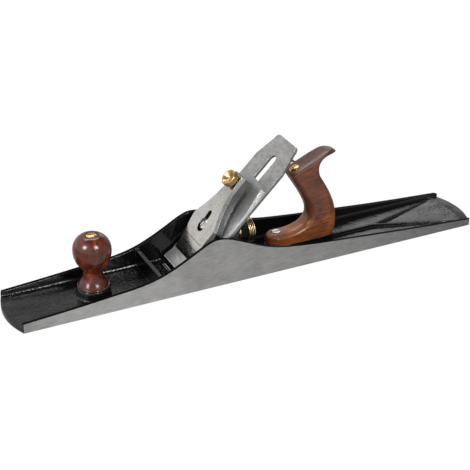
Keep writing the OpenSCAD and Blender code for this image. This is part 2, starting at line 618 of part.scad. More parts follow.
// Knob
knob_stud_d = 6;
knob_barrel_d = 8.4;
knob_top = boss_top + knob_h;
knob_mid = boss_top + knob_h * 0.69;
module knob_shape() rotate_extrude($fn = 96) polygon(concat(
  [[0, 0], [knob_foot_d / 2 - 1.2, 0]],
  bez_path([[knob_foot_d / 2 - 0.6, 0.3], [knob_foot_d / 2 + 0.3, 0.9], [knob_foot_d / 2 + 0.3, 2.4],
    [knob_foot_d / 2 - 1, 3]], 4),
  bez_path([[knob_foot_d / 2 - 1.6, 3.6], [knob_foot_d / 2 - 5, 5.4], [knob_neck_d / 2, 8],
    [knob_neck_d / 2, 13.5]], 8),
  bez_path([[knob_neck_d / 2 + 0.1, 15], [knob_neck_d / 2 + 1, 22], [knob_d / 2, 25],
    [knob_d / 2, knob_mid - boss_top]], 10),
  bez_path([[knob_d / 2 - 0.05, knob_mid - boss_top + 1], [knob_d / 2, knob_h - 8], [knob_d / 2 - 8, knob_h],
    [6.4, knob_h]], 10),
  [[0, knob_h]]));
module knob() color("#6b3322") translate([knob_x, 0, boss_top]) difference() {
  knob_shape();
  translate([0, 0, -1]) cylinder(r = knob_barrel_d / 2 + seat_gap, h = knob_h + 2);
  translate([0, 0, knob_h - 1.6]) cylinder(r = 5.6 + seat_gap, h = 5);
}
module knob_stud() color("silver") translate([knob_x, 0, floor_t - 1.8])
  cylinder(d = knob_stud_d, h = boss_top + knob_h - 12 - floor_t);
module nut(head_d, barrel_d, rod_dia, barrel) difference() {
  union() {
    intersection() {
      cylinder(d = head_d, h = 2.6);
      translate([0, 0, -9.6]) sphere(r = 12.2, $fn = 48);
    }
    translate([0, 0, -barrel]) cylinder(d = barrel_d, h = barrel + eps);
  }
  translate([0, 0, -barrel - 1]) cylinder(r = rod_dia / 2 + thread_gap, h = barrel - 2);
  translate([-head_d, -0.9, 1.2]) cube([2 * head_d, 1.8, 5]);
}
module knob_nut() color("goldenrod") translate([knob_x, 0, knob_top - 1.6])
  nut(11.2, knob_barrel_d, knob_stud_d, 22);

// Tote
toe_screw_in = 15;
toe_screw_d = 5;
tote_toe_top = boss_top + 13.4;
rod_d = 6;
rod_top_x = tote_x + 35;
rod_top_z = boss_top + 88.4;
rod_barrel_d = 8.4;
// Outline in two chains from the toe to the horn, as x, z and how much the edge is rounded there
tote_front = [
  [0.2, 4, 0.5], [1.2, 9.5, 0.7], [6, 13, 0.8], [15, 13.6, 0.8], [28, 13.8, 0.8], [37.5, 15.4, 0.8],
  [46.8, 19.6, 0.9], [52, 28, 1], [50.8, 39, 1], [43.4, 54.5, 1], [35, 68.5, 1], [27.2, 81.3, 0.7],
  [29.5, 85.5, 0.3], [38, 89.3, 0.25], [49.8, 94.4, 0.25], [62.8, 99.8, 0.25], [73.6, 103.6, 0.25],
  [81, 102.8, 0.2]
];
tote_back = [
  [1.5, 0, 0], [10, 0, 0], [22, 0, 0], [34, 0, 0], [46, 0, 0], [60, 0, 0], [74, 0, 0.1], [84.5, 0.6, 0.3],
  [88, 8, 0.8], [88, 22, 1], [85, 37, 1], [78, 53, 1], [70.4, 66, 1], [64.8, 76, 1],
  [63.4, 86, 1], [67.4, 94, 0.9], [75, 98.4, 0.5], [85.4, 99, 0.15]
];
function cat_rom(v, i, t) = let (a = v[max(i - 1, 0)], b = v[i], c = v[i + 1], d = v[min(i + 2, len(v) - 1)])
  0.5 * (2 * b + (c - a) * t + (2 * a - 5 * b + 4 * c - d) * t * t + (3 * b - a - 3 * c + d) * t * t * t);
function smooth(v) = concat([for (i = [0:len(v) - 2]) for (t = [0, 0.5]) cat_rom(v, i, t)], [v[len(v) - 1]]);
tote_line = concat(smooth(tote_front), rev(smooth(tote_back)));
function wrap(v, i) = v[(i + len(v)) % len(v)];
function tote_in(i) = let (d = wrap(tote_line, i + 1) - wrap(tote_line, i - 1), l = norm([d[0], d[1]]))
  [d[1] / l, -d[0] / l];
tote_round_in = 7;
tote_round_y = (tote_t - tote_flat) / 2;
// Toe and horn are round in plan: at y their ends fall back along a circle
tote_end = 16;
tote_span = tote_len + 0.5;
function fall_back(y) = tote_t / 2 - sqrt(max(tote_t * tote_t / 4 - y * y, 0));
function in_plan(x, y) = let (k = 1 - fall_back(y) / tote_end, far = tote_span - tote_end)
  x < tote_end ? tote_end - (tote_end - x) * k : x > far ? far + (x - far) * k : x;
function tote_ring(y, inset) = [for (i = [0:len(tote_line) - 1]) let (p = tote_line[i], n = tote_in(i))
  [tote_x + in_plan(p[0] + n[0] * inset * p[2], y), y, boss_top + max(0, p[1] + n[1] * inset * p[2])]];
tote_angles = [90, 68, 46, 24, 0];
module tote_shape() loft(concat(
  [for (f = tote_angles) tote_ring(-tote_flat / 2 - tote_round_y * sin(f), tote_round_in * (1 - cos(f)))],
  [for (f = rev(tote_angles)) tote_ring(tote_flat / 2 + tote_round_y * sin(f), tote_round_in * (1 - cos(f)))]));
module rod_frame() translate([rod_top_x + (rod_top_z - boss_top) * tan(rod_lean), 0, boss_top])
  rotate([0, -rod_lean, 0]) children();
rod_len = (rod_top_z - boss_top) / cos(rod_lean);
rod_deep = 6.5;
module tote() color("#5a3424") difference() {
  tote_shape();
  rod_frame() {
    translate([0, 0, -10]) cylinder(r = rod_barrel_d / 2 + seat_gap, h = rod_len + 30);
    translate([0, 0, rod_len - 1.6]) cylinder(r = 5.6 + seat_gap, h = 15);
  }
  translate([tote_x + toe_screw_in, 0, boss_top - 1])
    cylinder(r = toe_screw_d / 2 + seat_gap, h = tote_toe_top - boss_top);
  translate([tote_x + toe_screw_in, 0, tote_toe_top - 2]) cylinder(r = 4.8 + seat_gap, h = 20);
}
module tote_rod() color("silver") rod_frame() translate([0, 0, -rod_deep])
  cylinder(d = rod_d, h = rod_len - 12.5 + rod_deep);
module tote_nut() color("goldenrod") rod_frame() translate([0, 0, rod_len - 1.6])
  nut(11.2, rod_barrel_d, rod_d, 22);
module tote_toe_screw() color("silver") translate([tote_x + toe_screw_in, 0, floor_t + 0.2]) {
  cylinder(d = toe_screw_d, h = tote_toe_top - 2 - floor_t);
  translate([0, 0, tote_toe_top - 2 - floor_t - 0.15]) slotted_head(9.4, 2.8, 1.5);
}

casting();
frog();
frog_screws();
frog_washers();
frog_adjust_screw();
frog_adjust_clip();
frog_clip_screw();
depth_stud();
depth_nut();
yoke();
yoke_pin();
lateral_lever();
lateral_roller();
lateral_rivet();
lever_cap_screw();
blade();
cap_iron();
cap_iron_screw();
lever_cap();
thumb_screw();
knob();
knob_stud();
knob_nut();
tote();
tote_rod();
tote_nut();
tote_toe_screw();
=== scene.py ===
import json
import math

import bmesh
import bpy
import numpy as np
from mathutils import Matrix, Vector


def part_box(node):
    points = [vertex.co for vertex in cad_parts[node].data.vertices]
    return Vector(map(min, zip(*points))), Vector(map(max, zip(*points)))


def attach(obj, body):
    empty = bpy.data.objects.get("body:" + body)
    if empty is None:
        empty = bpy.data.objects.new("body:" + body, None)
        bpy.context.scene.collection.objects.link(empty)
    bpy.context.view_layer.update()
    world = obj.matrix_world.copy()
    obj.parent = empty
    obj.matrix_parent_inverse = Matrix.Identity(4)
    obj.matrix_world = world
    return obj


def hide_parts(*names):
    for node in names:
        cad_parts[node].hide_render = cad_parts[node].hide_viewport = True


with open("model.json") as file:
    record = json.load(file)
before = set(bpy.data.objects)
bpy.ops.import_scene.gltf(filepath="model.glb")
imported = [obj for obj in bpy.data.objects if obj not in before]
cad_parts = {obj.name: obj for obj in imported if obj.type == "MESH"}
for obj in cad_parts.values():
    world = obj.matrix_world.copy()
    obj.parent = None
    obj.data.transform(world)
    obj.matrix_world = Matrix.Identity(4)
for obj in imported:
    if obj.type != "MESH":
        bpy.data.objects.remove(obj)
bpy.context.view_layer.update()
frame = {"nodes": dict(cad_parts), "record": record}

# Dressed model of a metal jointer plane. Lengths in the settings are millimetres, the scene is in metres.
mm = 0.001
nodes = frame["nodes"]
bodyOf = {n: b for b, names in frame["record"]["behaviour"]["bodies"].items() for n in names}

# The bed that the blade lies on: a runs up the slope from the cutting edge, n stands off the blade's face
bed = {"edgeX": -89.3, "pitch": math.radians(45), "reach": 200.0}


def onBed(a, y, n):
    # x = edge + a cos(pitch) - n sin(pitch), z = a sin(pitch) + n cos(pitch)
    c, s = math.cos(bed["pitch"]), math.sin(bed["pitch"])
    a, y, n = np.broadcast_arrays(a, y, n)
    return np.stack([bed["edgeX"] + a * c - n * s, y + 0.0 * a, a * s + n * c], -1)


# Camera, at the photograph's viewing angle
photoCamera = {
    "azimuth": math.radians(-26.305),
    "elevation": math.radians(28.995),
    "roll": math.radians(0.498),
    "lens": 105.386,
    "sensor": 36.0,
    "distance": 1529.84,
    "right": -13.517,
    "up": 27.576,
}


def makeCamera(s):
    # Turned about Z, then tilted and rolled about its own axes and moved along them
    turn = Matrix.Rotation(s["azimuth"], 4, "Z") @ Matrix.Rotation(math.pi / 2 - s["elevation"], 4, "X")
    turn = turn @ Matrix.Rotation(s["roll"], 4, "Z")
    place = Vector((s["right"], s["up"], s["distance"])) * mm
    camera = bpy.data.objects.new("photoCamera", bpy.data.cameras.new("photoCamera"))
    camera.data.lens = s["lens"]
    camera.data.sensor_width = s["sensor"]
    camera.matrix_world = turn @ Matrix.Translation(place)
    bpy.context.scene.collection.objects.link(camera)
    bpy.context.scene.camera = camera


makeCamera(photoCamera)
print("camera placed")

# Node groups: effects that several materials share


def newGroup(name, inputs, outputs):
    # A default of three numbers makes a vector socket, one number a plain one
    group = bpy.data.node_groups.new(name, "ShaderNodeTree")
    for label, value in inputs.items():
        kind = "NodeSocketVector" if isinstance(value, tuple) else "NodeSocketFloat"
        group.interface.new_socket(label, in_out="INPUT", socket_type=kind).default_value = value
    for label in outputs:
        group.interface.new_socket(label, in_out="OUTPUT", socket_type="NodeSocketFloat")
    return group, group.nodes.new("NodeGroupInput").outputs, group.nodes.new("NodeGroupOutput").inputs


def setSocket(tree, socket, value):
    # Another node's output is linked, a plain value is written
    if hasattr(value, "is_output"):
        tree.links.new(value, socket)
    else:
        socket.default_value = value


def addNode(tree, kind, values=None, **settings):
    node = tree.nodes.new(kind)
    for key, value in settings.items():
        setattr(node, key, value)
    for key, value in (values or {}).items():
        setSocket(tree, node.inputs[key], value)
    return node


def mathNode(tree, operation, a, b=None, clamp=False):
    values = {0: a} if b is None else {0: a, 1: b}
    return addNode(tree, "ShaderNodeMath", values, operation=operation, use_clamp=clamp).outputs[0]


def plus(tree, a, b, clamp=False):
    return mathNode(tree, "ADD", a, b, clamp)


def times(tree, a, b, clamp=False):
    return mathNode(tree, "MULTIPLY", a, b, clamp)


def vectorNode(tree, operation, values):
    return addNode(tree, "ShaderNodeVectorMath", values, operation=operation).outputs


def noiseNode(tree, vector, scale, detail, roughness):
    values = {"Vector": vector, "Scale": scale, "Detail": detail, "Roughness": roughness}
    return addNode(tree, "ShaderNodeTexNoise", values).outputs["Fac"]


def splitNode(tree, vector):
    return addNode(tree, "ShaderNodeSeparateXYZ", {0: vector}).outputs


def rampNode(tree, factor, stops):
    node = addNode(tree, "ShaderNodeValToRGB", {0: factor})
    ramp = node.color_ramp
    while len(ramp.elements) < len(stops):
        ramp.elements.new(0.5)
    for element, (place, shade) in zip(ramp.elements, stops):
        element.position = place
        element.color = (*shade, 1) if isinstance(shade, tuple) else (shade, shade, shade, 1)
    return node.outputs[0]


def mixColour(tree, factor, a, b, blend="MIX"):
    node = addNode(tree, "ShaderNodeMix", {0: factor}, data_type="RGBA", blend_type=blend)
    for index, value in ((6, a), (7, b)):
        setSocket(tree, node.inputs[index], (*value, 1) if isinstance(value, tuple) else value)
    return node.outputs[2]


# Each noise has its scale, detail and roughness
brushed = {"detail": 3.0, "roughness": 0.6, "cloud": (38.0, 4.0, 0.6)}


def makeBrushedGroup(s):
    # Fine lines along one axis: noise whose coordinates are squeezed along the lines
    inputs = {"Vector": (0, 0, 0), "Squeeze": (1, 40, 40), "Scale": 60.0}
    group, given, result = newGroup("brushedLines", inputs, ["Lines", "Cloud"])
    squeezed = vectorNode(group, "MULTIPLY", {0: given["Vector"], 1: given["Squeeze"]})[0]
    lines = noiseNode(group, squeezed, given["Scale"], s["detail"], s["roughness"])
    group.links.new(lines, result["Lines"])
    group.links.new(noiseNode(group, given["Vector"], *s["cloud"]), result["Cloud"])
    return group


castSkin = {
    "swell": (60.0, 1.0, 0.4),
    "peel": (330.0, 2.0, 0.55),
    "patch": (16.0, 3.0, 0.6),
    # how strong the peel is, by patch
    "crinkle": [(0.38, 0.25), (0.62, 0.7)],
}


def makeCastGroup(s):
    # Skin of cast iron under enamel: broad swells, and an orange peel that is stronger in patches
    group, given, result = newGroup("castSkin", {"Vector": (0, 0, 0), "Scale": 1.0}, ["Height", "Patch"])
    sized = vectorNode(group, "SCALE", {0: given["Vector"], "Scale": given["Scale"]})[0]
    swell, peel, patch = (noiseNode(group, sized, *s[key]) for key in ("swell", "peel", "patch"))
    fine = times(group, peel, rampNode(group, patch, s["crinkle"]))
    group.links.new(plus(group, swell, fine), result["Height"])
    group.links.new(patch, result["Patch"])
    return group


rubbedEdges = {"samples": 4, "chips": (260.0, 4.0, 0.7), "chipGain": 2.0}


def makeEdgeGroup(s):
    # Where an edge is rubbed: the rounded-off normal turns away from the surface's own normal
    inputs = {"Vector": (0, 0, 0), "Radius": 0.0006, "Gain": 6.0}
    group, given, result = newGroup("rubbedEdges", inputs, ["Mask"])
    rounded = addNode(group, "ShaderNodeBevel", {"Radius": given["Radius"]}, samples=s["samples"])
    surface = addNode(group, "ShaderNodeNewGeometry")
    normals = {0: rounded.outputs["Normal"], 1: surface.outputs["Normal"]}
    turned = mathNode(group, "SUBTRACT", 1.0, vectorNode(group, "DOT_PRODUCT", normals)["Value"])
    gained = times(group, turned, given["Gain"])
    broken = times(group, gained, noiseNode(group, given["Vector"], *s["chips"]))
    group.links.new(times(group, broken, s["chipGain"], clamp=True), result["Mask"])
    return group


grain = {
    "heart": 0.045,
    "waver": (45.0, 4.0, 0.6),
    "waverGain": 20.0,
    "pores": (900.0, 2.0, 0.6),
    "cloud": (30.0, 3.0, 0.5),
}


def makeGrainGroup(s):
    # Wood: rings round the heart of a log that lies along X, wavered by noise, with long pores.
    # Ring tone = half + half sine(2 pi (distance from the heart x rings + waver))
    inputs = {"Vector": (0, 0, 0), "Rings": 60.0, "Waver": 0.25, "Stretch": (0.12, 1, 1)}
    group, given, result = newGroup("woodGrain", inputs, ["Rings", "Pores", "Cloud"])
    drawn = vectorNode(group, "MULTIPLY", {0: given["Vector"], 1: given["Stretch"]})[0]
    apart = splitNode(group, given["Vector"])
    high = plus(group, apart["Z"], s["heart"])
    squares = [times(group, side, side) for side in (apart["Y"], high)]
    distance = mathNode(group, "SQRT", plus(group, *squares))
    rings = times(group, distance, given["Rings"])
    waver = times(group, noiseNode(group, drawn, *s["waver"]), given["Waver"])
    shifted = plus(group, rings, times(group, waver, s["waverGain"]))
    wave = mathNode(group, "SINE", times(group, shifted, math.tau))
    tone = plus(group, times(group, wave, 0.5), 0.5)
    group.links.new(tone, result["Rings"])
    group.links.new(noiseNode(group, drawn, *s["pores"]), result["Pores"])
    group.links.new(noiseNode(group, given["Vector"], *s["cloud"]), result["Cloud"])
    return group


brushedGroup = makeBrushedGroup(brushed)
castGroup = makeCastGroup(castSkin)
edgeGroup = makeEdgeGroup(rubbedEdges)
grainGroup = makeGrainGroup(grain)


def placeGroup(tree, group, vector, values=None):
    return addNode(tree, "ShaderNodeGroup", {"Vector": vector, **(values or {})}, node_tree=group).outputs


def newMaterial(name, constants):
    material = bpy.data.materials.new(name)
    material.use_nodes = True
    tree = material.node_tree
    shader = tree.nodes["Principled BSDF"]
    for key, value in constants.items():
        shader.inputs[key].default_value = value
    objectPlace = addNode(tree, "ShaderNodeTexCoord").outputs["Object"]
    return material, tree, shader, objectPlace


def addLook(tree, shader, colour, roughness, by, spread):
    # Links the colour, and a roughness that goes from low to high where "by" crosses the spread
    tree.links.new(colour, shader.inputs["Base Color"])
    tree.links.new(rampNode(tree, by, list(zip(spread, roughness))), shader.inputs["Roughness"])


def addBump(tree, shader, height, distance, strength=1.0, radius=0.0):
    # A radius also rounds off the edges and inner corners that the light sees
    values = {"Strength": strength, "Distance": distance, "Height": height}
    if radius > 0:
        values["Normal"] = addNode(tree, "ShaderNodeBevel", {"Radius": radius}, samples=6).outputs["Normal"]
    bump = addNode(tree, "ShaderNodeBump", values)
    tree.links.new(bump.outputs["Normal"], shader.inputs["Normal"])


def turnedPlace(tree, place, euler, centre=(0, 0, 0)):
    values = {"Rotation": euler, "Location": centre, "Vector": place}
    return addNode(tree, "ShaderNodeMapping", values).outputs[0]


japan = {
    "colour": (0.004, 0.004, 0.0045),
    "worn": (0.1, 0.098, 0.094),
    "rubbed": {"Radius": 0.0005, "Gain": 2.5},
    "roughness": (0.05, 0.13),
    # share of the peel that is left on upright walls, from the normal's tilt
    "wallPeel": [(0.2, 0.5), (0.9, 1.0)],
    "peelDepth": 0.0009,
    "rounding": 0.002,
}


def makeJapan(s):
    # Black japanning over the cast skin, worn where an edge is rubbed
    constants = {"Metallic": 0.0, "IOR": 1.5, "Coat Weight": 0.0}
    material, tree, shader, place = newMaterial("japannedIron", constants)
    skin = placeGroup(tree, castGroup, place)
    edges = placeGroup(tree, edgeGroup, place, s["rubbed"])
    colour = mixColour(tree, edges["Mask"], s["colour"], s["worn"])
    addLook(tree, shader, colour, s["roughness"], skin["Patch"], (0.3, 0.75))
    surface = addNode(tree, "ShaderNodeNewGeometry")
    level = mathNode(tree, "ABSOLUTE", splitNode(tree, surface.outputs["True Normal"])["Z"])
    peeled = times(tree, skin["Height"], rampNode(tree, level, s["wallPeel"]))
    addBump(tree, shader, peeled, s["peelDepth"], radius=s["rounding"])
    return material


def placeUpBed(tree, place):
    # Metres up the slope from the cutting edge
    c, s = math.cos(bed["pitch"]), math.sin(bed["pitch"])
    along = vectorNode(tree, "DOT_PRODUCT", {0: place, 1: (c, 0, s)})["Value"]
    return mathNode(tree, "SUBTRACT", along, bed["edgeX"] * c * mm)


def lineMask(tree, place, lines, halfLength):
    # 1 on thin lines across the bed, each at its own place up the slope and with its half width
    aside = mathNode(tree, "ABSOLUTE", splitNode(tree, place)["Y"])
    within = mathNode(tree, "LESS_THAN", aside, halfLength * mm)
    up = placeUpBed(tree, place)
    total = 0.0
    for at, half in lines:
        line = addNode(tree, "ShaderNodeMath", {0: up, 1: at * mm, 2: half * mm}, operation="COMPARE")
        total = plus(tree, line.outputs[0], total)
    return times(tree, total, within, True)


ground = {
    "spread": (0.36, 0.64),
    "roughSpread": (0.35, 0.65),
    "edge": (0.8, 0.79, 0.77),
    "edgeRadius": 0.0004,
    "cutShare": 0.92,
    "cutColour": (0.06, 0.058, 0.055),
}


def makeGround(name, settings, squeeze, scale, turn=(0, 0, 0), bump=0.00002):
    # Ground steel: fine lines and clouds from dark to light, brighter on rubbed edges,
    # with engraved lines, and with a painted tone up the bed where the settings have one: painted highlight and
    # painted shade
    material, tree, shader, place = newMaterial(name, {"Metallic": settings.get("metal", 1.0)})
    turned = turnedPlace(tree, place, turn)
    lines = placeGroup(tree, brushedGroup, turned, {"Squeeze": squeeze, "Scale": scale})
    rubbed = {"Radius": ground["edgeRadius"], "Gain": settings.get("rubbed", 4.0)}
    edges = placeGroup(tree, edgeGroup, place, rubbed)
    half = times(tree, plus(tree, lines["Lines"], lines["Cloud"]), 0.5)
    shades = zip(ground["spread"], (settings["dark"], settings["light"]))
    bright = mixColour(tree, edges["Mask"], rampNode(tree, half, list(shades)), ground["edge"])
    if "cut" in settings:
        cut = lineMask(tree, place, settings["cut"], settings["cutReach"])
        share = times(tree, cut, ground["cutShare"])
        bright = mixColour(tree, share, bright, ground["cutColour"])
    # Painted highlight and painted shade: the colour is multiplied by a ramp up the bed
    if "along" in settings:
        share = mathNode(tree, "DIVIDE", placeUpBed(tree, place), bed["reach"] * mm, True)
        bright = mixColour(tree, 1.0, bright, rampNode(tree, share, settings["along"]), "MULTIPLY")
    addLook(tree, shader, bright, settings["roughness"], lines["Lines"], ground["roughSpread"])
    addBump(tree, shader, lines["Lines"], bump)
    return material


woods = {
    "knob": {
        "stops": [(0.1, (0.03, 0.006, 0.003)), (0.5, (0.085, 0.015, 0.006)), (0.95, (0.3, 0.055, 0.008))],
        "share": (0.22, 1.9, -0.66),
        "pores": 0.7,
        # tone gained with every metre of height, and its level at the sole
        "fade": (4.0, -0.16),
        "rings": 90.0,
        "waver": 0.2,
        "turn": (0, math.radians(80), 0),
        "roughness": (0.17, 0.24),
        "coat": 0.14,
    },
    "tote": {
        "stops": [(0.1, (0.07, 0.027, 0.017)), (0.5, (0.15, 0.044, 0.019)), (0.95, (0.34, 0.1, 0.022))],
        "share": (0.15, 1.1, -0.19),
        "pores": 0.5,
        "fade": (-5.0, 0.3),
        "rings": 170.0,
        "waver": 0.3,
        "turn": (0, math.radians(8), 0),
        "roughness": (0.28, 0.38),
        "coat": 0.0,
    },
}


def makeWood(name, settings, centre):
    # Rings and clouds are weighed into one tone that picks the colour, and the pores darken it
    constants = {"IOR": 1.5, "Coat Weight": settings["coat"], "Coat Roughness": 0.14}
    material, tree, shader, place = newMaterial(name, constants)
    turned = turnedPlace(tree, place, settings["turn"], centre)
    values = {"Rings": settings["rings"], "Waver": settings["waver"]}
    grown = placeGroup(tree, grainGroup, turned, values)
    ringShare, cloudShare, shift = settings["share"]
    ringed = times(tree, grown["Rings"], ringShare)
    clouded = times(tree, grown["Cloud"], cloudShare)
    tone = plus(tree, plus(tree, ringed, clouded), shift)
    perMetre, atSole = settings["fade"]
    faded = times(tree, splitNode(tree, place)["Z"], perMetre)
    tone = plus(tree, tone, plus(tree, faded, atSole))
    pores = rampNode(tree, grown["Pores"], [(0.36, settings["pores"]), (0.5, 1.0)])
    colour = mixColour(tree, 1.0, rampNode(tree, tone, settings["stops"]), pores, "MULTIPLY")
    addLook(tree, shader, colour, settings["roughness"], grown["Rings"], (0.0, 1.0))
    addBump(tree, shader, grown["Pores"], 0.00003)
    return material


def makeTurnedMetal(name, light, dark, roughness):
    # Turned or polished metal: a cloudy tarnish over a bright base
    material, tree, shader, place = newMaterial(name, {"Metallic": 1.0})
    lines = placeGroup(tree, brushedGroup, place, {"Squeeze": (1, 1, 1), "Scale": 500.0})
    edges = placeGroup(tree, edgeGroup, place, {"Radius": 0.0004, "Gain": 4.0})
    tone = rampNode(tree, lines["Cloud"], [(0.35, dark), (0.65, light)])
    bright = mixColour(tree, edges["Mask"], tone, tuple(min(1, c * 1.35) for c in light))
    addLook(tree, shader, bright, roughness, lines["Lines"], (0.3, 0.7))
    addBump(tree, shader, lines["Lines"], 0.000012)
    return material


def makeEnamel(name, colour, worn, roughness, shine):
    # Thin enamel over a finer cast skin
    material, tree, shader, place = newMaterial(name, {"IOR": 1.5, "Specular IOR Level": shine})
    skin = placeGroup(tree, castGroup, place, {"Scale": 1.6})
    edges = placeGroup(tree, edgeGroup, place, {"Radius": 0.0005, "Gain": 6.0})
    tone = mixColour(tree, edges["Mask"], colour, worn)
    addLook(tree, shader, tone, roughness, skin["Patch"], (0.3, 0.7))
    addBump(tree, shader, skin["Height"], 0.0003, 0.6, radius=0.0007)
    return material


slopeTurn = (0, bed["pitch"], 0)
finish = {
    "japanned_iron": makeJapan(japan),
    # Near-black, almost unreflecting enamel for the walls' tops: painted shade
    "rim_painted_shade": makeEnamel(
        "rimPaintedShade", (0.002, 0.002, 0.0023), (0.005, 0.005, 0.005), (0.3, 0.42), 0.02
    ),
    "ground_iron": makeGround(
        "groundIron",
        {"light": (0.565, 0.56, 0.55), "dark": (0.39, 0.385, 0.38), "roughness": (0.3, 0.45)},
        (0.14, 1, 1),
        700.0,
    ),
    "black_enamel": makeEnamel(
        "blackEnamel", (0.012, 0.012, 0.013), (0.12, 0.115, 0.11), (0.22, 0.42), 0.5
    ),
    "steel": makeTurnedMetal("brightSteel", (0.66, 0.65, 0.63), (0.46, 0.455, 0.44), (0.2, 0.36)),
    "blade_steel": makeGround(
        "bladeSteel",
        {"light": (0.49, 0.485, 0.475), "dark": (0.25, 0.247, 0.242), "roughness": (0.3, 0.44)},
        (1, 0.3, 1),
        800.0,
        slopeTurn,
    ),
    "cap_steel": makeGround(
        "capSteelPaintedLight",
        {
            "light": (0.97, 0.97, 0.965),
            "dark": (0.72, 0.72, 0.715),
            "roughness": (0.32, 0.46),
            "metal": 0.78,
            # painted highlight low on the plate and painted shade towards its top: a colour factor by share of
            # the bed's reach
            "along": [(0.09, 0.55), (0.17, 0.8), (0.3, 1.0), (0.37, 0.9), (0.5, 0.42), (0.62, 0.36)],
        },
        (1, 0.12, 1),
        900.0,
        slopeTurn,
    ),
    # Near-white steel for the hump's ridge and the side faces: painted highlight
    "cap_painted_highlight": makeTurnedMetal("capPaintedHighlight", (0.95, 0.95, 0.94), (0.86, 0.86, 0.85), (0.45, 0.6)),
    # Dark steel for the hump's nose: painted dark reflection
    "cap_painted_dark_reflection": makeTurnedMetal("capPaintedDarkReflection", (0.3, 0.3, 0.3), (0.2, 0.2, 0.2), (0.1, 0.2)),
    "lever_nickel": makeGround(
        "leverNickel",
        {
            "light": (0.66, 0.64, 0.6),
            "dark": (0.38, 0.365, 0.345),
            "roughness": (0.12, 0.24),
            "cut": [(47.0, 0.36), (38.5, 0.36)],
            "cutReach": 18.5,
            "rubbed": 0.6,
        },
        (0.6, 1, 1),
        700.0,
        slopeTurn,
        0.000015,
    ),
    # Darker, duller flank of the lever cap: partly an unpolished finish, partly painted shade
    "lever_side_dull_and_painted_shade": makeGround(
        "leverSideDullAndPaintedShade",
        {"light": (0.27, 0.27, 0.272), "dark": (0.16, 0.16, 0.161), "roughness": (0.28, 0.42)},
        (1, 1, 1),
        700.0,
        slopeTurn,
    ),
    # Nearly black steel: painted shade on the lever cap's bevel facet below the kink, and the lateral lever's
    # own dark steel
    "dark_steel_and_painted_shade": makeGround(
        "darkSteelAndPaintedShade",
        {"light": (0.11, 0.11, 0.112), "dark": (0.06, 0.06, 0.062), "roughness": (0.25, 0.4), "rubbed": 1.0},
        (1, 1, 1),
        700.0,
        slopeTurn,
    ),
    "nickel": makeTurnedMetal("brightNickel", (0.66, 0.65, 0.62), (0.5, 0.49, 0.47), (0.1, 0.22)),
    "brass": makeTurnedMetal("turnedBrass", (0.66, 0.47, 0.22), (0.36, 0.22, 0.09), (0.24, 0.38)),
    "brass_ring": makeTurnedMetal("ringBrass", (0.94, 0.74, 0.44), (0.66, 0.47, 0.25), (0.28, 0.42)),
    # Dark brass for the wheel's valleys: painted shade
    "brass_groove_painted_shade": makeTurnedMetal("grooveBrassPaintedShade", (0.2, 0.12, 0.045), (0.1, 0.06, 0.02), (0.4, 0.55)),
    "knob_wood": makeWood("knobRosewood", woods["knob"], (0.181, 0.004, -0.03)),
    "tote_wood": makeWood("toteRosewood", woods["tote"], (0, 0.006, 0)),
}
print("materials made")

# Mesh helpers


def meshFromGrid(name, points, aroundRows=False, aroundColumns=False):
    # Quads between neighbours of a rows x columns x 3 array of points in millimetres
    rows, columns = points.shape[:2]
    i = np.arange(rows if aroundRows else rows - 1)[:, None]
    j = np.arange(columns if aroundColumns else columns - 1)[None, :]
    i2, j2 = (i + 1) % rows, (j + 1) % columns
    corners = [i * columns + j, i2 * columns + j, i2 * columns + j2, i * columns + j2]
    faces = np.stack(np.broadcast_arrays(*corners), -1).reshape(-1, 4)
    mesh = bpy.data.meshes.new(name)
    mesh.from_pydata((points.reshape(-1, 3) * mm).tolist(), [], faces.tolist())
    return mesh


def faceData(mesh, kind):
    # Normals, or centres in metres, with a row for each face
    data = np.zeros(len(mesh.polygons) * 3)
    mesh.polygons.foreach_get(kind, data)
    return data.reshape(-1, 3)


def paintFaces(mesh, looks, index):
    # More finishes after the piece's own, and the number of its finish for each face
    for look in looks:
        mesh.materials.append(finish[look])
    mesh.polygons.foreach_set("material_index", np.asarray(index).astype(np.int32))


def alongBed(points):
    # How far up the bed each point lies, in millimetres from the cutting edge
    x, z = points[:, 0] / mm, points[:, 2] / mm
    return (x - bed["edgeX"]) * math.cos(bed["pitch"]) + z * math.sin(bed["pitch"])


def tidyMesh(mesh, gap=2e-7):
    # Points that coincide at seams and poles become one, and faces point outwards
    work = bmesh.new()
    work.from_mesh(mesh)
    bmesh.ops.remove_doubles(work, verts=work.verts, dist=gap)
    bmesh.ops.recalc_face_normals(work, faces=work.faces)
    work.to_mesh(mesh)
    work.free()


def bakeModifiers(obj):
    # The finished mesh takes the place of the mesh and its modifiers
    graph = bpy.context.evaluated_depsgraph_get()
    made = bpy.data.meshes.new_from_object(obj.evaluated_get(graph))
    obj.modifiers.clear()
    obj.data = made


def shadeMesh(mesh, sharpAngle):
    mesh.shade_smooth()
    mesh.set_sharp_from_angle(angle=math.radians(sharpAngle))


def addPiece(name, mesh, node, look, sharpAngle=32):
    obj = bpy.data.objects.new(name, mesh)
    bpy.context.scene.collection.objects.link(obj)
    mesh.materials.clear()
    mesh.materials.append(finish[look])
    shadeMesh(mesh, sharpAngle)
    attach(obj, bodyOf[node])
    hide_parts(node)
    return obj


def addRoundPiece(name, points, node, look):
    # A piece whose rows of points go round an axis
    mesh = meshFromGrid(name, points, aroundColumns=True)
    tidyMesh(mesh)
    addPiece(name, mesh, node, look, 40)
    return mesh


def aroundAxis(r, t, z):
    # Radius r, turn t and height z give the point (r cos t, r sin t, z)
    return np.stack([r * np.cos(t), r * np.sin(t), z + 0 * t], -1)


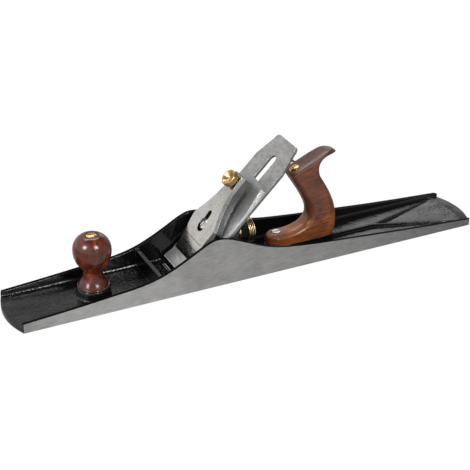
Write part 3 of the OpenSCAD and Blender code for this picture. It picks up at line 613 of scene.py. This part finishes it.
def revolved(profile, steps):
    # Each point (r, z) of the profile makes a circle
    profile = np.asarray(profile, float)
    return aroundAxis(profile[:, :1], np.arange(steps) * math.tau / steps, profile[:, 1:])


def bezier(corners, steps):
    # Cubic curve through four control corners
    t = np.linspace(0, 1, steps + 1)[:, None]
    p = np.asarray(corners, float)
    return (1 - t) ** 3 * p[0] + 3 * (1 - t) ** 2 * t * p[1] + 3 * (1 - t) * t**2 * p[2] + t**3 * p[3]


# How a CAD node's copy is merged, flattened and rounded off: gap in metres, angles in radians
rounding = {"merge": 2e-6, "flatWithin": math.radians(0.4), "edgeFrom": math.radians(38)}


def weighEdges(mesh, bevel, wide, chosen):
    # Bevel weights: full on the chosen sharp edges, the common bevel on all the others
    work = bmesh.new()
    work.from_mesh(mesh)
    layer = work.edges.layers.float.new("bevel_weight_edge")
    for edge in work.edges:
        if len(edge.link_faces) == 2 and edge.calc_face_angle(0) > rounding["edgeFrom"]:
            edge[layer] = 1.0 if chosen(edge) else bevel / wide
    work.to_mesh(mesh)
    work.free()


def roundedCopy(node, name, look, bevel, segments=2, wide=None):
    # A merged copy of a CAD node with its flat faces whole again and its edges rounded off.
    # wide gives some edges a wider bevel: its width and the test that picks them
    mesh = nodes[node].data.copy()
    mesh.name = name
    work = bmesh.new()
    work.from_mesh(mesh)
    bmesh.ops.remove_doubles(work, verts=work.verts, dist=rounding["merge"])
    flat = {"angle_limit": rounding["flatWithin"], "verts": work.verts, "edges": work.edges}
    bmesh.ops.dissolve_limit(work, **flat)
    work.to_mesh(mesh)
    work.free()
    obj = addPiece(name, mesh, node, look)
    if wide:
        weighEdges(mesh, bevel, *wide)
    edge = obj.modifiers.new("roundedEdges", "BEVEL")
    edge.width = (wide[0] if wide else bevel) * mm
    edge.segments = segments
    edge.limit_method = "WEIGHT" if wide else "ANGLE"
    edge.angle_limit = rounding["edgeFrom"]
    edge.harden_normals = True
    edge.use_clamp_overlap = True
    bakeModifiers(obj)
    return obj


# Sole casting: ground cheeks and sole, japanned inside, with a duller, near-black rim along the walls' tops:
# painted shade in place of the dark reflection of a rounded top
castingLook = {
    "bevel": 0.35,
    "wallTop": 1.2,
    # beyond these the faces belong to the cheeks' sides, the sole and the rims of painted shade
    "cheekFace": 37.4,
    "soleFace": 0.05,
    "paintedShadeRimFrom": 34.2,
}


def makeCasting(s):
    def onWallTop(edge):
        # The outer rim of a wall's top: one face is the cheek's side, the other looks up
        side, up = sorted(edge.link_faces, key=lambda f: -abs(f.normal.y))
        outside = abs(side.normal.y) > 0.9 and abs(edge.verts[0].co.y) > s["cheekFace"] * mm
        return outside and up.normal.z > 0.5

    look, wide = "japanned_iron", (s["wallTop"], onWallTop)
    mesh = roundedCopy("casting", "soleCasting", look, s["bevel"], 3, wide).data
    normals, centres = faceData(mesh, "normal"), faceData(mesh, "center") / mm
    outer = np.abs(centres[:, 1])
    steel = (np.abs(normals[:, 1]) > 0.8) & (outer > s["cheekFace"])
    steel |= (normals[:, 2] < -0.8) & (centres[:, 2] < s["soleFace"])
    # Upward faces out at the walls' tops take the rim's painted shade
    rim = (normals[:, 2] > 0.6) & (outer > s["paintedShadeRimFrom"])
    paintFaces(mesh, ["ground_iron", "rim_painted_shade"], np.where(steel, 1, rim * 2))


makeCasting(castingLook)
print("casting dressed")

# Front knob, turned in one profile with the counterbore of its nut
knob = {
    "foot": 35.0,
    "neck": 20.8,
    "neckLow": 18.2,
    "neckHigh": 19.0,
    "belly": 41.2,
    # height of the widest place, as a share of the whole
    "bellyAt": 0.71,
    "height": 60.5,
    "hole": 4.5,
    "bore": 5.9,
    "sink": 1.6,
    "steps": 144,
}


def knobProfile(s):
    # Radius and height of the foot's bead, its groove, the flare up to the neck, the ball and the bores
    foot, neck, belly, top = s["foot"] / 2, s["neck"] / 2, s["belly"] / 2, s["height"]
    middle, hole, bore, sunk = top * s["bellyAt"], s["hole"], s["bore"], top - s["sink"]
    runs = [
        [[hole, 0.6], [hole, 0.0], [foot - 1.2, 0.0]],
        bezier([[foot - 1.0, 0.05], [foot, 0.3], [foot, 1.8], [foot - 0.8, 2.1]], 10),
        bezier([[foot - 1.3, 2.15], [foot - 1.5, 2.2], [foot - 1.6, 2.35], [foot - 1.5, 2.6]], 4),
        bezier([[foot - 1.3, 2.9], [foot - 3.6, 7.6], [neck, 9.5], [neck, s["neckLow"]]], 20),
        bezier([[neck, s["neckHigh"]], [neck, 22], [belly, 28.5], [belly, middle]], 28),
        bezier([[belly, middle + 0.4], [belly, top - 7.5], [belly - 7, top], [bore + 0.8, top]], 28),
        [[bore + 0.25, top - 0.06], [bore, top - 0.4], [bore, sunk], [hole, sunk], [hole, 0.6]],
    ]
    return np.concatenate(runs)


def makeKnob(s):
    low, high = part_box("knob")
    centre = np.array([(low.x + high.x) / 2, (low.y + high.y) / 2, low.z]) / mm
    points = revolved(knobProfile(s), s["steps"]) + centre
    addRoundPiece("frontKnob", points, "knob", "knob_wood")


makeKnob(knob)
print("knob turned")


def throughKnots(knots, x):
    # Smooth line through knots of place, value and slope (cubic Hermite between neighbours)
    k = np.asarray(knots, float)
    x = np.asarray(x, float)
    i = np.clip(np.searchsorted(k[:, 0], x, side="right") - 1, 0, len(k) - 2)
    w = k[i + 1, 0] - k[i, 0]
    t = (x - k[i, 0]) / w
    s, c = t**2, t**3
    start = (2 * c - 3 * s + 1) * k[i, 1] + (c - 2 * s + t) * w * k[i, 2]
    return start + (3 * s - 2 * c) * k[i + 1, 1] + (c - s) * w * k[i + 1, 2]


# Rear tote: an outline in two chains, from its toe to its horn, thickened with an elliptic edge
tote = {
    "thick": 24.0,
    "flat": 5.0,
    "roundIn": 7.0,
    "endRound": 16.0,
    "length": 88.0,
    "perStep": 6,
    # x, height, how much the edge is rounded there
    "front": [
        (2.9, 4, 0.35), (3.7, 9.6, 0.45), (8, 12.9, 0.6), (15, 13.6, 0.8), (28, 13.8, 0.8), (37.5, 15.4, 0.8),
        (46.8, 19.6, 0.9), (52, 28, 1), (50.8, 39, 1), (43.4, 54.5, 1), (35, 68.5, 1), (27.2, 81.3, 0.55),
        (29.5, 85.5, 0.3), (38, 89.3, 0.25), (49.8, 94.4, 0.25), (62.8, 100.1, 0.25), (72.5, 104.0, 0.25),
        (80.5, 103.6, 0.2), (85.3, 100.2, 0.1),
    ],
    "back": [
        (4, 0, 0), (11, 0, 0), (22, 0, 0), (34, 0, 0), (46, 0, 0), (60, 0, 0), (74, 0, 0.1),
        (84.5, 0.6, 0.3), (88, 8, 0.8), (88, 22, 1), (85, 37, 1), (78, 53, 1), (70.4, 66, 1), (64.8, 76, 1),
        (63.4, 86, 1), (66.2, 93, 0.9), (71.4, 97.2, 0.5), (79.5, 98.3, 0.25), (85.6, 98.7, 0.1),
    ],
    # how the horn narrows: place, share of the width, over the heights between which that sets in
    "hornWidth": [(60, 1), (68, 0.93), (75, 0.76), (80, 0.54), (84, 0.3), (86, 0.14)],
    "hornFrom": (78, 90),
    # the toe's front is flat this far from the middle, then cut back at a slope
    "toeFlat": 5.0,
    "toeSlope": 1.15,
    # counterbores of the toe's screw and the leaning nut: radius, length of the drill, depth, lean
    "screwSink": 5.1,
    "nutSink": 5.9,
    "screwDrill": 20.0,
    "nutDrill": 16.0,
    "sinkDepth": 2.6,
    "nutLean": math.radians(25),
    "setBack": 0.2,
    "smoothing": 4,
    "edgeLevels": 15,
    "sideColumns": 10,
    "sharpAngle": 36,
}


def smoothChain(chain, perStep):
    # Catmull-Rom curve through the chain, perStep samples to a step
    p = np.asarray(chain, float)
    a = np.vstack([p[:1], p[:-2]])[:, None]
    b, c = p[:-1][:, None], p[1:][:, None]
    d = np.vstack([p[2:], p[-1:]])[:, None]
    t = (np.arange(perStep) / perStep)[None, :, None]
    curve = 2 * b + (c - a) * t + (2 * a - 5 * b + 4 * c - d) * t**2 + (3 * b - a - 3 * c + d) * t**3
    return np.vstack([(0.5 * curve).reshape(-1, 3), p[-1:]])


def toteRing(s, line, inward, y, inset):
    # Outline moved inwards by inset, with toe and horn drawn back where y nears the sides
    flat = line[:, :2] + inward * (inset * line[:, 2:])
    half, end, far = s["thick"] / 2, s["endRound"], s["length"] - s["endRound"]
    k = 1 - (half - math.sqrt(max(half**2 - y**2, 0))) / end
    cut = 1 - max(abs(y) - s["toeFlat"], 0) * s["toeSlope"] / end
    x = np.where(flat[:, 0] < end, end - (end - flat[:, 0]) * cut, flat[:, 0])
    low, high = s["hornFrom"]
    horn = np.clip((flat[:, 1] - low) / (high - low), 0, 1)
    x = np.where(flat[:, 0] > far, far + (flat[:, 0] - far) * (k + (1 - k) * horn), x)
    places, shares = zip(*s["hornWidth"])
    width = 1 + (np.interp(flat[:, 0], places, shares) - 1) * horn
    return np.stack([x, y * width, np.maximum(flat[:, 1], 0)], -1)


def sinkHoles(obj, holes):
    # Counterbores: each is a place, an axis, a radius and a length
    for place, axis, radius, length in holes:
        bpy.ops.mesh.primitive_cylinder_add(vertices=64, radius=radius * mm, depth=length * mm)
        drill = bpy.context.active_object
        lean = Vector(axis).to_track_quat("Z", "Y").to_matrix().to_4x4()
        drill.matrix_world = Matrix.Translation(Vector(place) * mm) @ lean
        cut = obj.modifiers.new("counterbore", "BOOLEAN")
        cut.object = drill
        cut.solver = "EXACT"
        bakeModifiers(obj)
        bpy.data.objects.remove(drill)


def toteHoles(s):
    # Where the toe's screw and the nut's top lie, each with its drill's axis, radius and length
    screwLow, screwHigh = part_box("tote_toe_screw")
    screwX = (screwLow.x + screwHigh.x) / 2 / mm
    screwZ = screwHigh.z / mm - s["sinkDepth"] + s["screwDrill"] / 2
    points = np.array([v.co for v in nodes["tote_nut"].data.vertices]) / mm
    axis = np.array([-math.sin(s["nutLean"]), 0, math.cos(s["nutLean"])])
    centre = points.mean(0)
    rise = (points @ axis).max() - centre @ axis
    nut = centre + axis * (rise - s["sinkDepth"] + s["nutDrill"] / 2)
    return [
        ((screwX, 0, screwZ), (0, 0, 1), s["screwSink"], s["screwDrill"]),
        (tuple(nut), tuple(axis), s["nutSink"], s["nutDrill"]),
    ]


def makeTote(s):
    low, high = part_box("tote")
    front, back = smoothChain(s["front"], s["perStep"]), smoothChain(s["back"], s["perStep"])
    line = np.vstack([front, back[::-1]])
    along = np.roll(line[:, :2], -1, 0) - np.roll(line[:, :2], 1, 0)
    inward = np.stack([along[:, 1], -along[:, 0]], -1)
    inward /= np.linalg.norm(inward, axis=1)[:, None]
    for _ in range(s["smoothing"]):
        inward = (np.roll(inward, 1, 0) + 2 * inward + np.roll(inward, -1, 0)) / 4
    turns = np.radians(np.linspace(90, 0, s["edgeLevels"]))
    depth = (s["thick"] - s["flat"]) / 2
    levels = [(-s["flat"] / 2 - depth * math.sin(f), s["roundIn"] * (1 - math.cos(f))) for f in turns]
    levels += [(-y, inset) for y, inset in reversed(levels)]
    rings = np.stack([toteRing(s, line, inward, y, inset) for y, inset in levels])
    count = len(front)
    ladder = np.linspace(0, 1, s["sideColumns"])[:, None, None]
    parts = [(rings, True)]
    for ring in (rings[0], rings[-1]):
        parts.append((ring[:count] * (1 - ladder) + ring[count:][::-1] * ladder, False))
    start = np.array([low.x, 0, low.z]) / mm - np.array([s["setBack"], 0, 0])
    work = bmesh.new()
    for part, around in parts:
        piece = meshFromGrid("totePart", part + start, aroundColumns=around)
        work.from_mesh(piece)
        bpy.data.meshes.remove(piece)
    mesh = bpy.data.meshes.new("rearTote")
    work.to_mesh(mesh)
    work.free()
    tidyMesh(mesh, gap=2e-6)
    obj = addPiece("rearTote", mesh, "tote", "tote_wood", s["sharpAngle"])
    sinkHoles(obj, toteHoles(s))
    shadeMesh(obj.data, s["sharpAngle"])


makeTote(tote)
print("tote shaped")

# Lever cap: rings between the keyhole and the outline, then over the bevel and back underneath
lever = {
    "nose": 25.2,
    "top": 132.7,
    "keyLow": 63.3,
    "keyHigh": 79.5,
    "fulcrum": 66.5,
    "headHole": 6.1,
    "slotHalf": 3.3,
    "wall": 4.5,
    # place along the bed, half width, slope
    "halfWidth": [
        (25.2, 28, 0), (60, 28, 0), (77, 23.6, -0.62), (92, 16.8, -0.36), (110, 12.2, -0.1), (132.7, 11.6, 0),
    ],
    # place along the bed, height over the blade's face, slope
    "height": [(25.2, 5.75, 0.42), (37, 10.2, 0.36), (47, 13.3, 0.25), (75, 18, 0.12), (132.7, 21.6, 0.02)],
    # place along the bed, width
    "bevel": [(25.2, 1), (47, 6.4), (69, 2.6), (132.7, 3.4)],
    # how far down its wall the bevel may reach
    "bevelDrop": 0.78,
    "under": 4.73,
    "noseFlat": 3.0,
    "underRise": 0.048,
    # how far the outline stops short at each end, and what the bevel adds at the nose and at the top
    "ends": (0.15, 0.3, 0.9),
    "corner": 0.3,
    # the keyhole's edge: how far out, how far down
    "keyRim": [(0, 0.3), (0.1, 0.1), (0.35, 0)],
    # the bevel's rows: share of its width that is left, share of its drop
    "edge": [(1, 0.03), (0.97, 0.06), (0.5, 0.5), (0.05, 0.94), (0.015, 0.98), (0, 1.03)],
    # the hollow underneath: widths of its lip and of the keyhole's web, its reach, its ends' run
    "lip": 3.6,
    "web": 3.5,
    "hollow": (36, 111),
    "hollowRun": 3,
    # points beside the keyhole, below it, across the nose, above it and across the head
    "counts": (24, 30, 36, 40, 14),
    "faceRings": 13,
    "hollowRings": 9,
    # faces that lean further off the bed's normal than this cosine take the duller, darker flank finish above
    # the kink, partly unpolished and partly painted shade
    "polishedTo": 0.86,
    "kink": 68.0,
    # the nearly black finish of the turned faces starts here and runs up to the kink: painted shade
    "shadedFacetFrom": 36.0,
}


def leverTop(s, a):
    return throughKnots(s["height"], a)


def leverUnder(s, a):
    # Flat at the nose, then a slow rise
    return s["under"] + np.maximum(0, a - s["nose"] - s["noseFlat"]) * s["underRise"]


def keyholeHalf(s, a):
    # A round hole for the screw's head, drawn up into the slot
    past = np.clip(a - s["fulcrum"], 0, s["headHole"])
    return np.maximum(np.sqrt(s["headHole"] ** 2 - past**2), s["slotHalf"])


def leverLoops(s):
    # Points round the keyhole, and for each the outline's place up the bed and its side, from 1 to -1
    straight, lower, nose, upper, head = s["counts"]
    keyLow, keyHigh, tip, top = s["keyLow"], s["keyHigh"], s["nose"], s["top"]

    def run(start, end, count):
        return np.linspace(start, end, count, endpoint=False)

    down, up = run(keyHigh, keyLow, straight), run(keyLow, keyHigh, straight)
    lowFan = run(0, 1, 2 * lower + nose) * math.pi + math.pi / 2
    highFan = run(0, 1, 2 * upper + head) * math.pi - math.pi / 2
    hole, slot = s["headHole"], s["slotHalf"]
    outA = [down, run(keyLow, tip, lower), np.full(nose, tip), run(tip, keyLow, lower)]
    outA += [up, run(keyHigh, top, upper), np.full(head, top), run(top, keyHigh, upper)]
    side = [np.ones(straight + lower), run(1, -1, nose), -np.ones(lower + straight + upper)]
    side += [run(-1, 1, head), np.ones(upper)]
    inA = [down, keyLow + hole * np.cos(lowFan), up, keyHigh + slot * np.cos(highFan)]
    inY = [keyholeHalf(s, down), hole * np.sin(lowFan), -keyholeHalf(s, up), slot * np.sin(highFan)]
    keyhole = np.stack([np.concatenate(inA), np.concatenate(inY)], -1)
    return keyhole, np.concatenate(outA), np.concatenate(side)


def leverRows(s):
    # Closed rows: up the keyhole, over the face and the bevel, down the side and back in the hollow
    keyhole, outA, side = leverLoops(s)
    centre = np.stack([np.clip(keyhole[:, 0], s["keyLow"], s["keyHigh"]), 0 * outA], -1)
    away = keyhole - centre
    away /= np.linalg.norm(away, axis=1)[:, None]
    bevel = np.interp(outA, *zip(*s["bevel"]))
    drop = np.minimum(bevel, (leverTop(s, outA) - leverUnder(s, outA)) * s["bevelDrop"])

    gap, noseGap, topGap = s["ends"]

    def outline(share, inset=0.0):
        # Outline drawn in by a share of the bevel plus a fixed inset
        end = gap + inset
        a = np.clip(outA, s["nose"] + end + noseGap * share, s["top"] - end - topGap * share)
        return np.stack([a, side * (throughKnots(s["halfWidth"], a) - inset - share * bevel)], -1)

    def top(flat):
        return leverTop(s, flat[:, 0])

    def under(flat):
        return leverUnder(s, flat[:, 0])

    rows = [(keyhole, under(keyhole))]
    for grow, sink in s["keyRim"]:
        rim = keyhole + away * grow
        rows.append((rim, top(rim) - sink))
    face = outline(1, 0.25)
    for t in np.linspace(0, 1, s["faceRings"] + 1)[1:]:
        flat = rim * (1 - t) + face * t
        rows.append((flat, top(flat)))
    for share, down in s["edge"]:
        flat = outline(share)
        rows.append((flat, top(flat) - drop * down))
    edge, corner, lip = outline(0), outline(0, s["corner"]), outline(0, s["lip"])
    rows += [(edge, under(edge) + s["corner"]), (corner, under(corner)), (lip, under(lip))]
    web = keyhole + away * s["web"]
    low, high = s["hollow"]
    for t in np.linspace(0.02, 0.98, s["hollowRings"]):
        flat = lip * (1 - t) + web * t
        fromEnds = np.clip(np.stack([flat[:, 0] - low, high - flat[:, 0]]) / s["hollowRun"], 0, 1)
        hollow = np.maximum(top(flat) - s["wall"] - under(flat), 0) * fromEnds.prod(0)
        rows.append((flat, under(flat) + hollow))
    rows.append((web, under(web)))
    return np.stack([onBed(flat[:, 0], flat[:, 1], n) for flat, n in rows])


def makeLeverCap(s):
    mesh = meshFromGrid("leverCap", leverRows(s), aroundRows=True, aroundColumns=True)
    tidyMesh(mesh)
    addPiece("leverCap", mesh, "lever_cap", "lever_nickel", 24)
    slope = math.sin(bed["pitch"])
    # Turned faces above the kink take the duller flank finish, partly painted shade
    turned = faceData(mesh, "normal") @ np.array([-slope, 0, slope]) < s["polishedTo"]
    along = alongBed(faceData(mesh, "center"))
    # Turned faces from the facet's start up to the kink take the nearly black finish, which is painted shade
    shadedFacet = (along > s["shadedFacetFrom"]) & (along <= s["kink"])
    paintFaces(mesh, ["lever_side_dull_and_painted_shade", "dark_steel_and_painted_shade"], np.where(shadedFacet, 2, along > s["kink"]) * turned)


makeLeverCap(lever)
print("lever cap made")


def alongAxis(points, origin, axis):
    # Turns a shape made round +Z to another axis in the plane y = 0, then moves it
    x, z = axis
    turn = np.array([[z, 0, x], [0, 1, 0], [-x, 0, z]])
    return points @ turn.T + np.asarray(origin, float)


def knurledRim(radius, z0, z1, teeth, deep, steps, rows, ends=0.3):
    # Diamond knurl: r = radius - deep (1 - |sin(teeth (t + kz) / 2)| |sin(teeth (t - kz) / 2)|)
    t = np.arange(steps) * math.tau / steps
    z = np.linspace(z0, z1, rows)[:, None]
    k = 1 / radius
    cross = np.abs(np.sin(teeth * (t + k * z) / 2)) * np.abs(np.sin(teeth * (t - k * z) / 2))
    fade = np.clip(np.minimum(z - z0, z1 - z) / ends, 0, 1)
    return aroundAxis(radius - deep * (1 - cross * fade), t, z)


def threadRows(radius, pitch, z0, z1, steps, deep=0.45, endDeep=0.25, perTurn=8):
    # Screw thread: r falls and rises once as z / pitch - t / turn goes from one whole number to the next
    t = np.arange(steps) * math.tau / steps
    z = np.linspace(z0, z1, max(int((z1 - z0) / pitch * perTurn), perTurn))[:, None]
    ridge = np.abs((z / pitch - t / math.tau) % 1 * 2 - 1)
    fade = np.clip(np.minimum(z - z0, z1 - z) / pitch, 0, 1)
    return aroundAxis(radius - deep * (1 - ridge) * fade - endDeep * (1 - fade), t, z)


# Thumb screw that tightens the lever cap: threaded shank, collar, knurled and dished head
thumb = {
    "place": 122.5,
    "tip": 3.15,
    "shank": 4.0,
    "pitch": 1.25,
    "collar": 21.6,
    "head": 23.7,
    "radius": 9.3,
    "deep": 7.0,
    "teeth": 34,
    "knurl": 0.35,
}


def makeThumbScrew(s):
    steps = s["teeth"] * 8
    tip, collar, r, low, high = s["tip"], s["collar"], s["radius"], s["head"], s["head"] + s["deep"]
    shoulder = [[3.9, collar], [6.0, collar + 0.2], [6.0, low], [r - 1.0, low], [r - 0.5, low + 0.3]]
    dish = [[r - 0.55, high - 0.3], [r - 0.9, high], [r - 1.7, high], [r - 2.1, high - 0.25], [2.6, high - 3.2]]
    dish += [[2.2, high - 3.5], [0.9, high - 3.6], [0.5, high - 4.2], [0, high - 4.6]]
    parts = [
        revolved([[0, tip], [3.2, tip], [3.75, tip + 0.5]], steps),
        threadRows(s["shank"], s["pitch"], tip + 0.6, collar, steps),
        revolved(shoulder, steps),
        knurledRim(r, low + 0.6, high - 0.6, s["teeth"], s["knurl"], steps, 20),
        revolved(dish, steps),
    ]
    axis = (-math.sin(bed["pitch"]), math.cos(bed["pitch"]))
    points = alongAxis(np.concatenate(parts), onBed(s["place"], 0, 0), axis)
    addRoundPiece("thumbScrew", points, "thumb_screw", "brass")


makeThumbScrew(thumb)

# Depth wheel: flange, groove for the yoke, rim with knurled bands and a valley between each two
wheel = {
    "bore": 3.1,
    "flange": 9.0,
    "flangeThick": 2.4,
    "groove": 7.2,
    "grooveRadius": 6.0,
    "radius": 14.25,
    "thick": 8.0,
    "bands": 4,
    "bandEdge": 0.62,
    "teeth": 60,
    "knurl": 0.07,
    # how deep and how far to each side
    "valley": [[0.5, -0.56], [1.7, -0.36], [1.7, 0.36], [0.5, 0.56]],
}


def makeDepthWheel(s):
    low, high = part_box("depth_nut")
    centre = np.array([low.x, 0, (low.z + high.z) / 2]) / mm
    steps = s["teeth"] * 6
    hole, hub, g, r = s["bore"], s["flange"], s["grooveRadius"], s["radius"]
    x1, x2 = s["flangeThick"], s["flangeThick"] + s["groove"]
    x3, end, band = x2 + s["thick"], (high.x - low.x) / mm, s["thick"] / s["bands"]
    front = [[hole, 0.6], [hole + 0.3, 0.0], [hub - 0.4, 0], [hub, 0.4], [hub, x1 - 0.3], [hub - 0.3, x1]]
    front += [[g + 0.3, x1], [g, x1 + 0.3], [g, x2 - 0.3], [g + 0.3, x2], [r - 1.2, x2], [r - 0.7, x2 + 0.2]]
    back = [[r - 0.7, x3 - 0.2], [r - 1.2, x3], [hub + 3, x3 - 0.4], [hub + 0.4, x3 - 0.4], [hub, x3]]
    back += [[hub - 1.4, end - 0.1], [hub - 1.8, end], [hole + 0.3, end], [hole, end - 0.4], [hole, 0.6]]
    parts = [revolved(front, steps)]
    for k in range(s["bands"]):
        edge = x2 + k * band
        if k > 0:
            parts.append(revolved([[r - deep, edge + z] for deep, z in s["valley"]], steps))
        z0, z1 = edge + s["bandEdge"], edge + band - s["bandEdge"]
        parts.append(knurledRim(r, z0, z1, s["teeth"], s["knurl"], steps, 6))
    parts.append(revolved(back, steps))
    points = alongAxis(np.concatenate(parts), centre, (1, 0))
    mesh = addRoundPiece("depthWheel", points, "depth_nut", "brass_ring")
    middles = faceData(mesh, "center") / mm - centre
    out = np.hypot(middles[:, 1], middles[:, 2])
    # The valleys between the knurled bands take the painted shade
    sunk = (out > r - 2) & (out < r - 0.75) & (middles[:, 0] > x2 + 0.5) & (middles[:, 0] < x3 - 0.5)
    paintFaces(mesh, ["brass_groove_painted_shade"], sunk)


makeDepthWheel(wheel)
print("brass knurled")

# Small CAD pieces with rounded edges: node, name, finish, bevel
smallPieces = [
    ("frog", "frogCasting", "black_enamel", 0.35),
    ("frog_screws", "frogScrews", "steel", 0.2),
    ("frog_washers", "frogWashers", "steel", 0.15),
    ("frog_adjust_screw", "frogAdjustScrew", "steel", 0.15),
    ("frog_adjust_clip", "frogAdjustClip", "black_enamel", 0.15),
    ("frog_clip_screw", "frogClipScrew", "steel", 0.12),
    ("depth_stud", "depthStud", "steel", 0.3),
    ("yoke", "depthYoke", "black_enamel", 0.2),
    ("yoke_pin", "yokePin", "steel", 0.15),
    ("lateral_lever", "lateralLever", "dark_steel_and_painted_shade", 0.2),
    ("lateral_roller", "lateralRoller", "steel", 0.15),
    ("lateral_rivet", "lateralRivet", "steel", 0.15),
    ("lever_cap_screw", "leverCapScrew", "nickel", 0.25),
    ("blade", "planeIron", "blade_steel", 0.18),
    ("cap_iron_screw", "capIronScrew", "steel", 0.25),
    ("knob_stud", "knobStud", "steel", 0.2),
    ("knob_nut", "knobNut", "brass", 0.2),
    ("tote_rod", "toteRod", "steel", 0.2),
    ("tote_nut", "toteNut", "brass", 0.2),
    ("tote_toe_screw", "toteToeScrew", "steel", 0.2),
]
for node, name, look, bevel in smallPieces:
    roundedCopy(node, name, look, bevel)

# The lateral lever's tab: beyond "from" its length along the bed shrinks to a share
tab = {"from": 150.0, "share": 0.8}


def shortenTab(s):
    mesh = bpy.data.objects["lateralLever"].data
    points = np.zeros(len(mesh.vertices) * 3)
    mesh.vertices.foreach_get("co", points)
    points = points.reshape(-1, 3)
    back = np.maximum(alongBed(points) - s["from"], 0) * (1 - s["share"]) * mm
    points -= back[:, None] * np.array([math.cos(bed["pitch"]), 0, math.sin(bed["pitch"])])
    mesh.vertices.foreach_set("co", points.reshape(-1))
    mesh.update()


shortenTab(tab)

# Cap iron: a satin plate whose hump ends in a bright band of painted highlight and a dark lip of painted
# reflection, each up to its place on the bed; its side faces take the painted highlight too
# lip and band: how far up the bed the painted dark reflection and the painted highlight reach
capIron = {"bevel": 0.22, "lip": 8.8, "band": 11.2}


def makeCapIron(s):
    mesh = roundedCopy("cap_iron", "capIron", "cap_steel", s["bevel"]).data
    along = alongBed(faceData(mesh, "center"))
    paintedHighlightSides = np.abs(faceData(mesh, "normal")[:, 1]) > 0.8
    zone = np.where(along < s["lip"], 2, (along < s["band"]) | paintedHighlightSides)
    paintFaces(mesh, ["cap_painted_highlight", "cap_painted_dark_reflection"], zone)


makeCapIron(capIron)
print("small pieces dressed")

# Studio, in metres and watts
studio = {
    "floorSize": 8.0,
    "floorDrop": 0.0002,
    "floorWhite": 0.92,
    "floorRough": 0.9,
    "glow": 0.88,
    "mirrorGlow": 0.95,
    # painted light: how brightly the floor glows in reflections from 0.5 m left of the middle to 0.5 m right of
    # it, bright on the left and dim on the right
    "mirroredFloorPaintedLight": [(0.2, 0.34), (0.31, 0.7), (0.42, 0.58), (0.55, 0.43), (0.66, 0.33), (0.8, 0.1)],
    "worldFill": 0.45,
    # how white the mirrored room is, by height, under a ceiling that leans up towards the left
    "lean": 0.5,
    "ceiling": [(0.0, 1.0), (0.14, 0.76), (0.35, 0.72), (0.52, 0.64), (0.68, 0.5), (0.9, 0.15)],
    # name, place, width, height, power
    "lamps": [
        ("leftLamp", (-1.8, -0.5, 1.31), 0.62, 0.62, 26.0),
        ("frontLamp", (0.13, -1.28, 1.17), 0.5, 0.5, 16.0),
        ("overheadLamp", (0.1, 1.0, 1.7), 1.5, 0.5, 13.0),
        ("heelCard", (0.68, 0.94, 0.6), 0.5, 0.5, 0.9),
    ],
    "aim": (0, 0, 0.03),
}
white = (1.0, 1.0, 1.0)


def rayKinds(tree):
    # Rays from the camera, and rays that a glossy or a clear surface sends on
    path = addNode(tree, "ShaderNodeLightPath").outputs
    sentOn = plus(tree, path["Is Glossy Ray"], path["Is Transmission Ray"], True)
    return path["Is Camera Ray"], sentOn


def makeWorld(s):
    # White to the camera, the graded room in reflections, and an even fill for all other light
    world = bpy.data.worlds.new("studioWorld")
    bpy.context.scene.world = world
    world.use_nodes = True
    tree = world.node_tree
    seen, mirrored = rayKinds(tree)
    apart = splitNode(tree, addNode(tree, "ShaderNodeTexCoord").outputs["Object"])
    leaning = times(tree, apart["X"], s["lean"])
    ceiling = rampNode(tree, plus(tree, apart["Z"], leaning), s["ceiling"])
    fill = mixColour(tree, mirrored, (s["worldFill"],) * 3, ceiling)
    tree.links.new(mixColour(tree, seen, fill, white), tree.nodes["Background"].inputs["Color"])


def makeFloor(s):
    # White paper that takes the object's shadow and glows to the camera and in reflections; the glow in
    # reflections is painted light that fades across the floor
    half = s["floorSize"] / 2
    mesh = bpy.data.meshes.new("studioFloor")
    corners = [(-half, -half), (half, -half), (half, half), (-half, half)]
    mesh.from_pydata([(x, y, -s["floorDrop"]) for x, y in corners], [], [(0, 1, 2, 3)])
    floor = bpy.data.objects.new("studioFloor", mesh)
    bpy.context.scene.collection.objects.link(floor)
    constants = {"Base Color": (s["floorWhite"],) * 3 + (1,), "Roughness": s["floorRough"]}
    material, tree, paper, place = newMaterial("whiteFloor", constants)
    seen, mirrored = rayKinds(tree)
    across = plus(tree, splitNode(tree, place)["X"], 0.5)
    # Painted light: the glow in reflections follows a ramp across the floor
    tone = mixColour(tree, seen, rampNode(tree, across, s["mirroredFloorPaintedLight"]), white)
    glow = addNode(tree, "ShaderNodeEmission", {"Color": tone, "Strength": 1.0})
    toCamera = times(tree, seen, s["glow"])
    toMirrors = times(tree, mirrored, s["mirrorGlow"])
    share = plus(tree, toCamera, toMirrors, True)
    mix = addNode(tree, "ShaderNodeMixShader", {0: share, 1: paper.outputs[0], 2: glow.outputs[0]})
    tree.links.new(mix.outputs[0], tree.nodes["Material Output"].inputs["Surface"])
    mesh.materials.append(material)


def makeLamps(s):
    for name, place, width, height, power in s["lamps"]:
        lamp = bpy.data.lights.new(name, "AREA")
        lamp.shape = "RECTANGLE"
        lamp.size, lamp.size_y, lamp.energy = width, height, power
        holder = bpy.data.objects.new(name, lamp)
        holder.location = place
        holder.rotation_euler = (Vector(s["aim"]) - Vector(place)).to_track_quat("-Z", "Y").to_euler()
        bpy.context.scene.collection.objects.link(holder)


bpy.context.scene.view_settings.view_transform = "Standard"
makeWorld(studio)
makeFloor(studio)
makeLamps(studio)
print("studio lit")
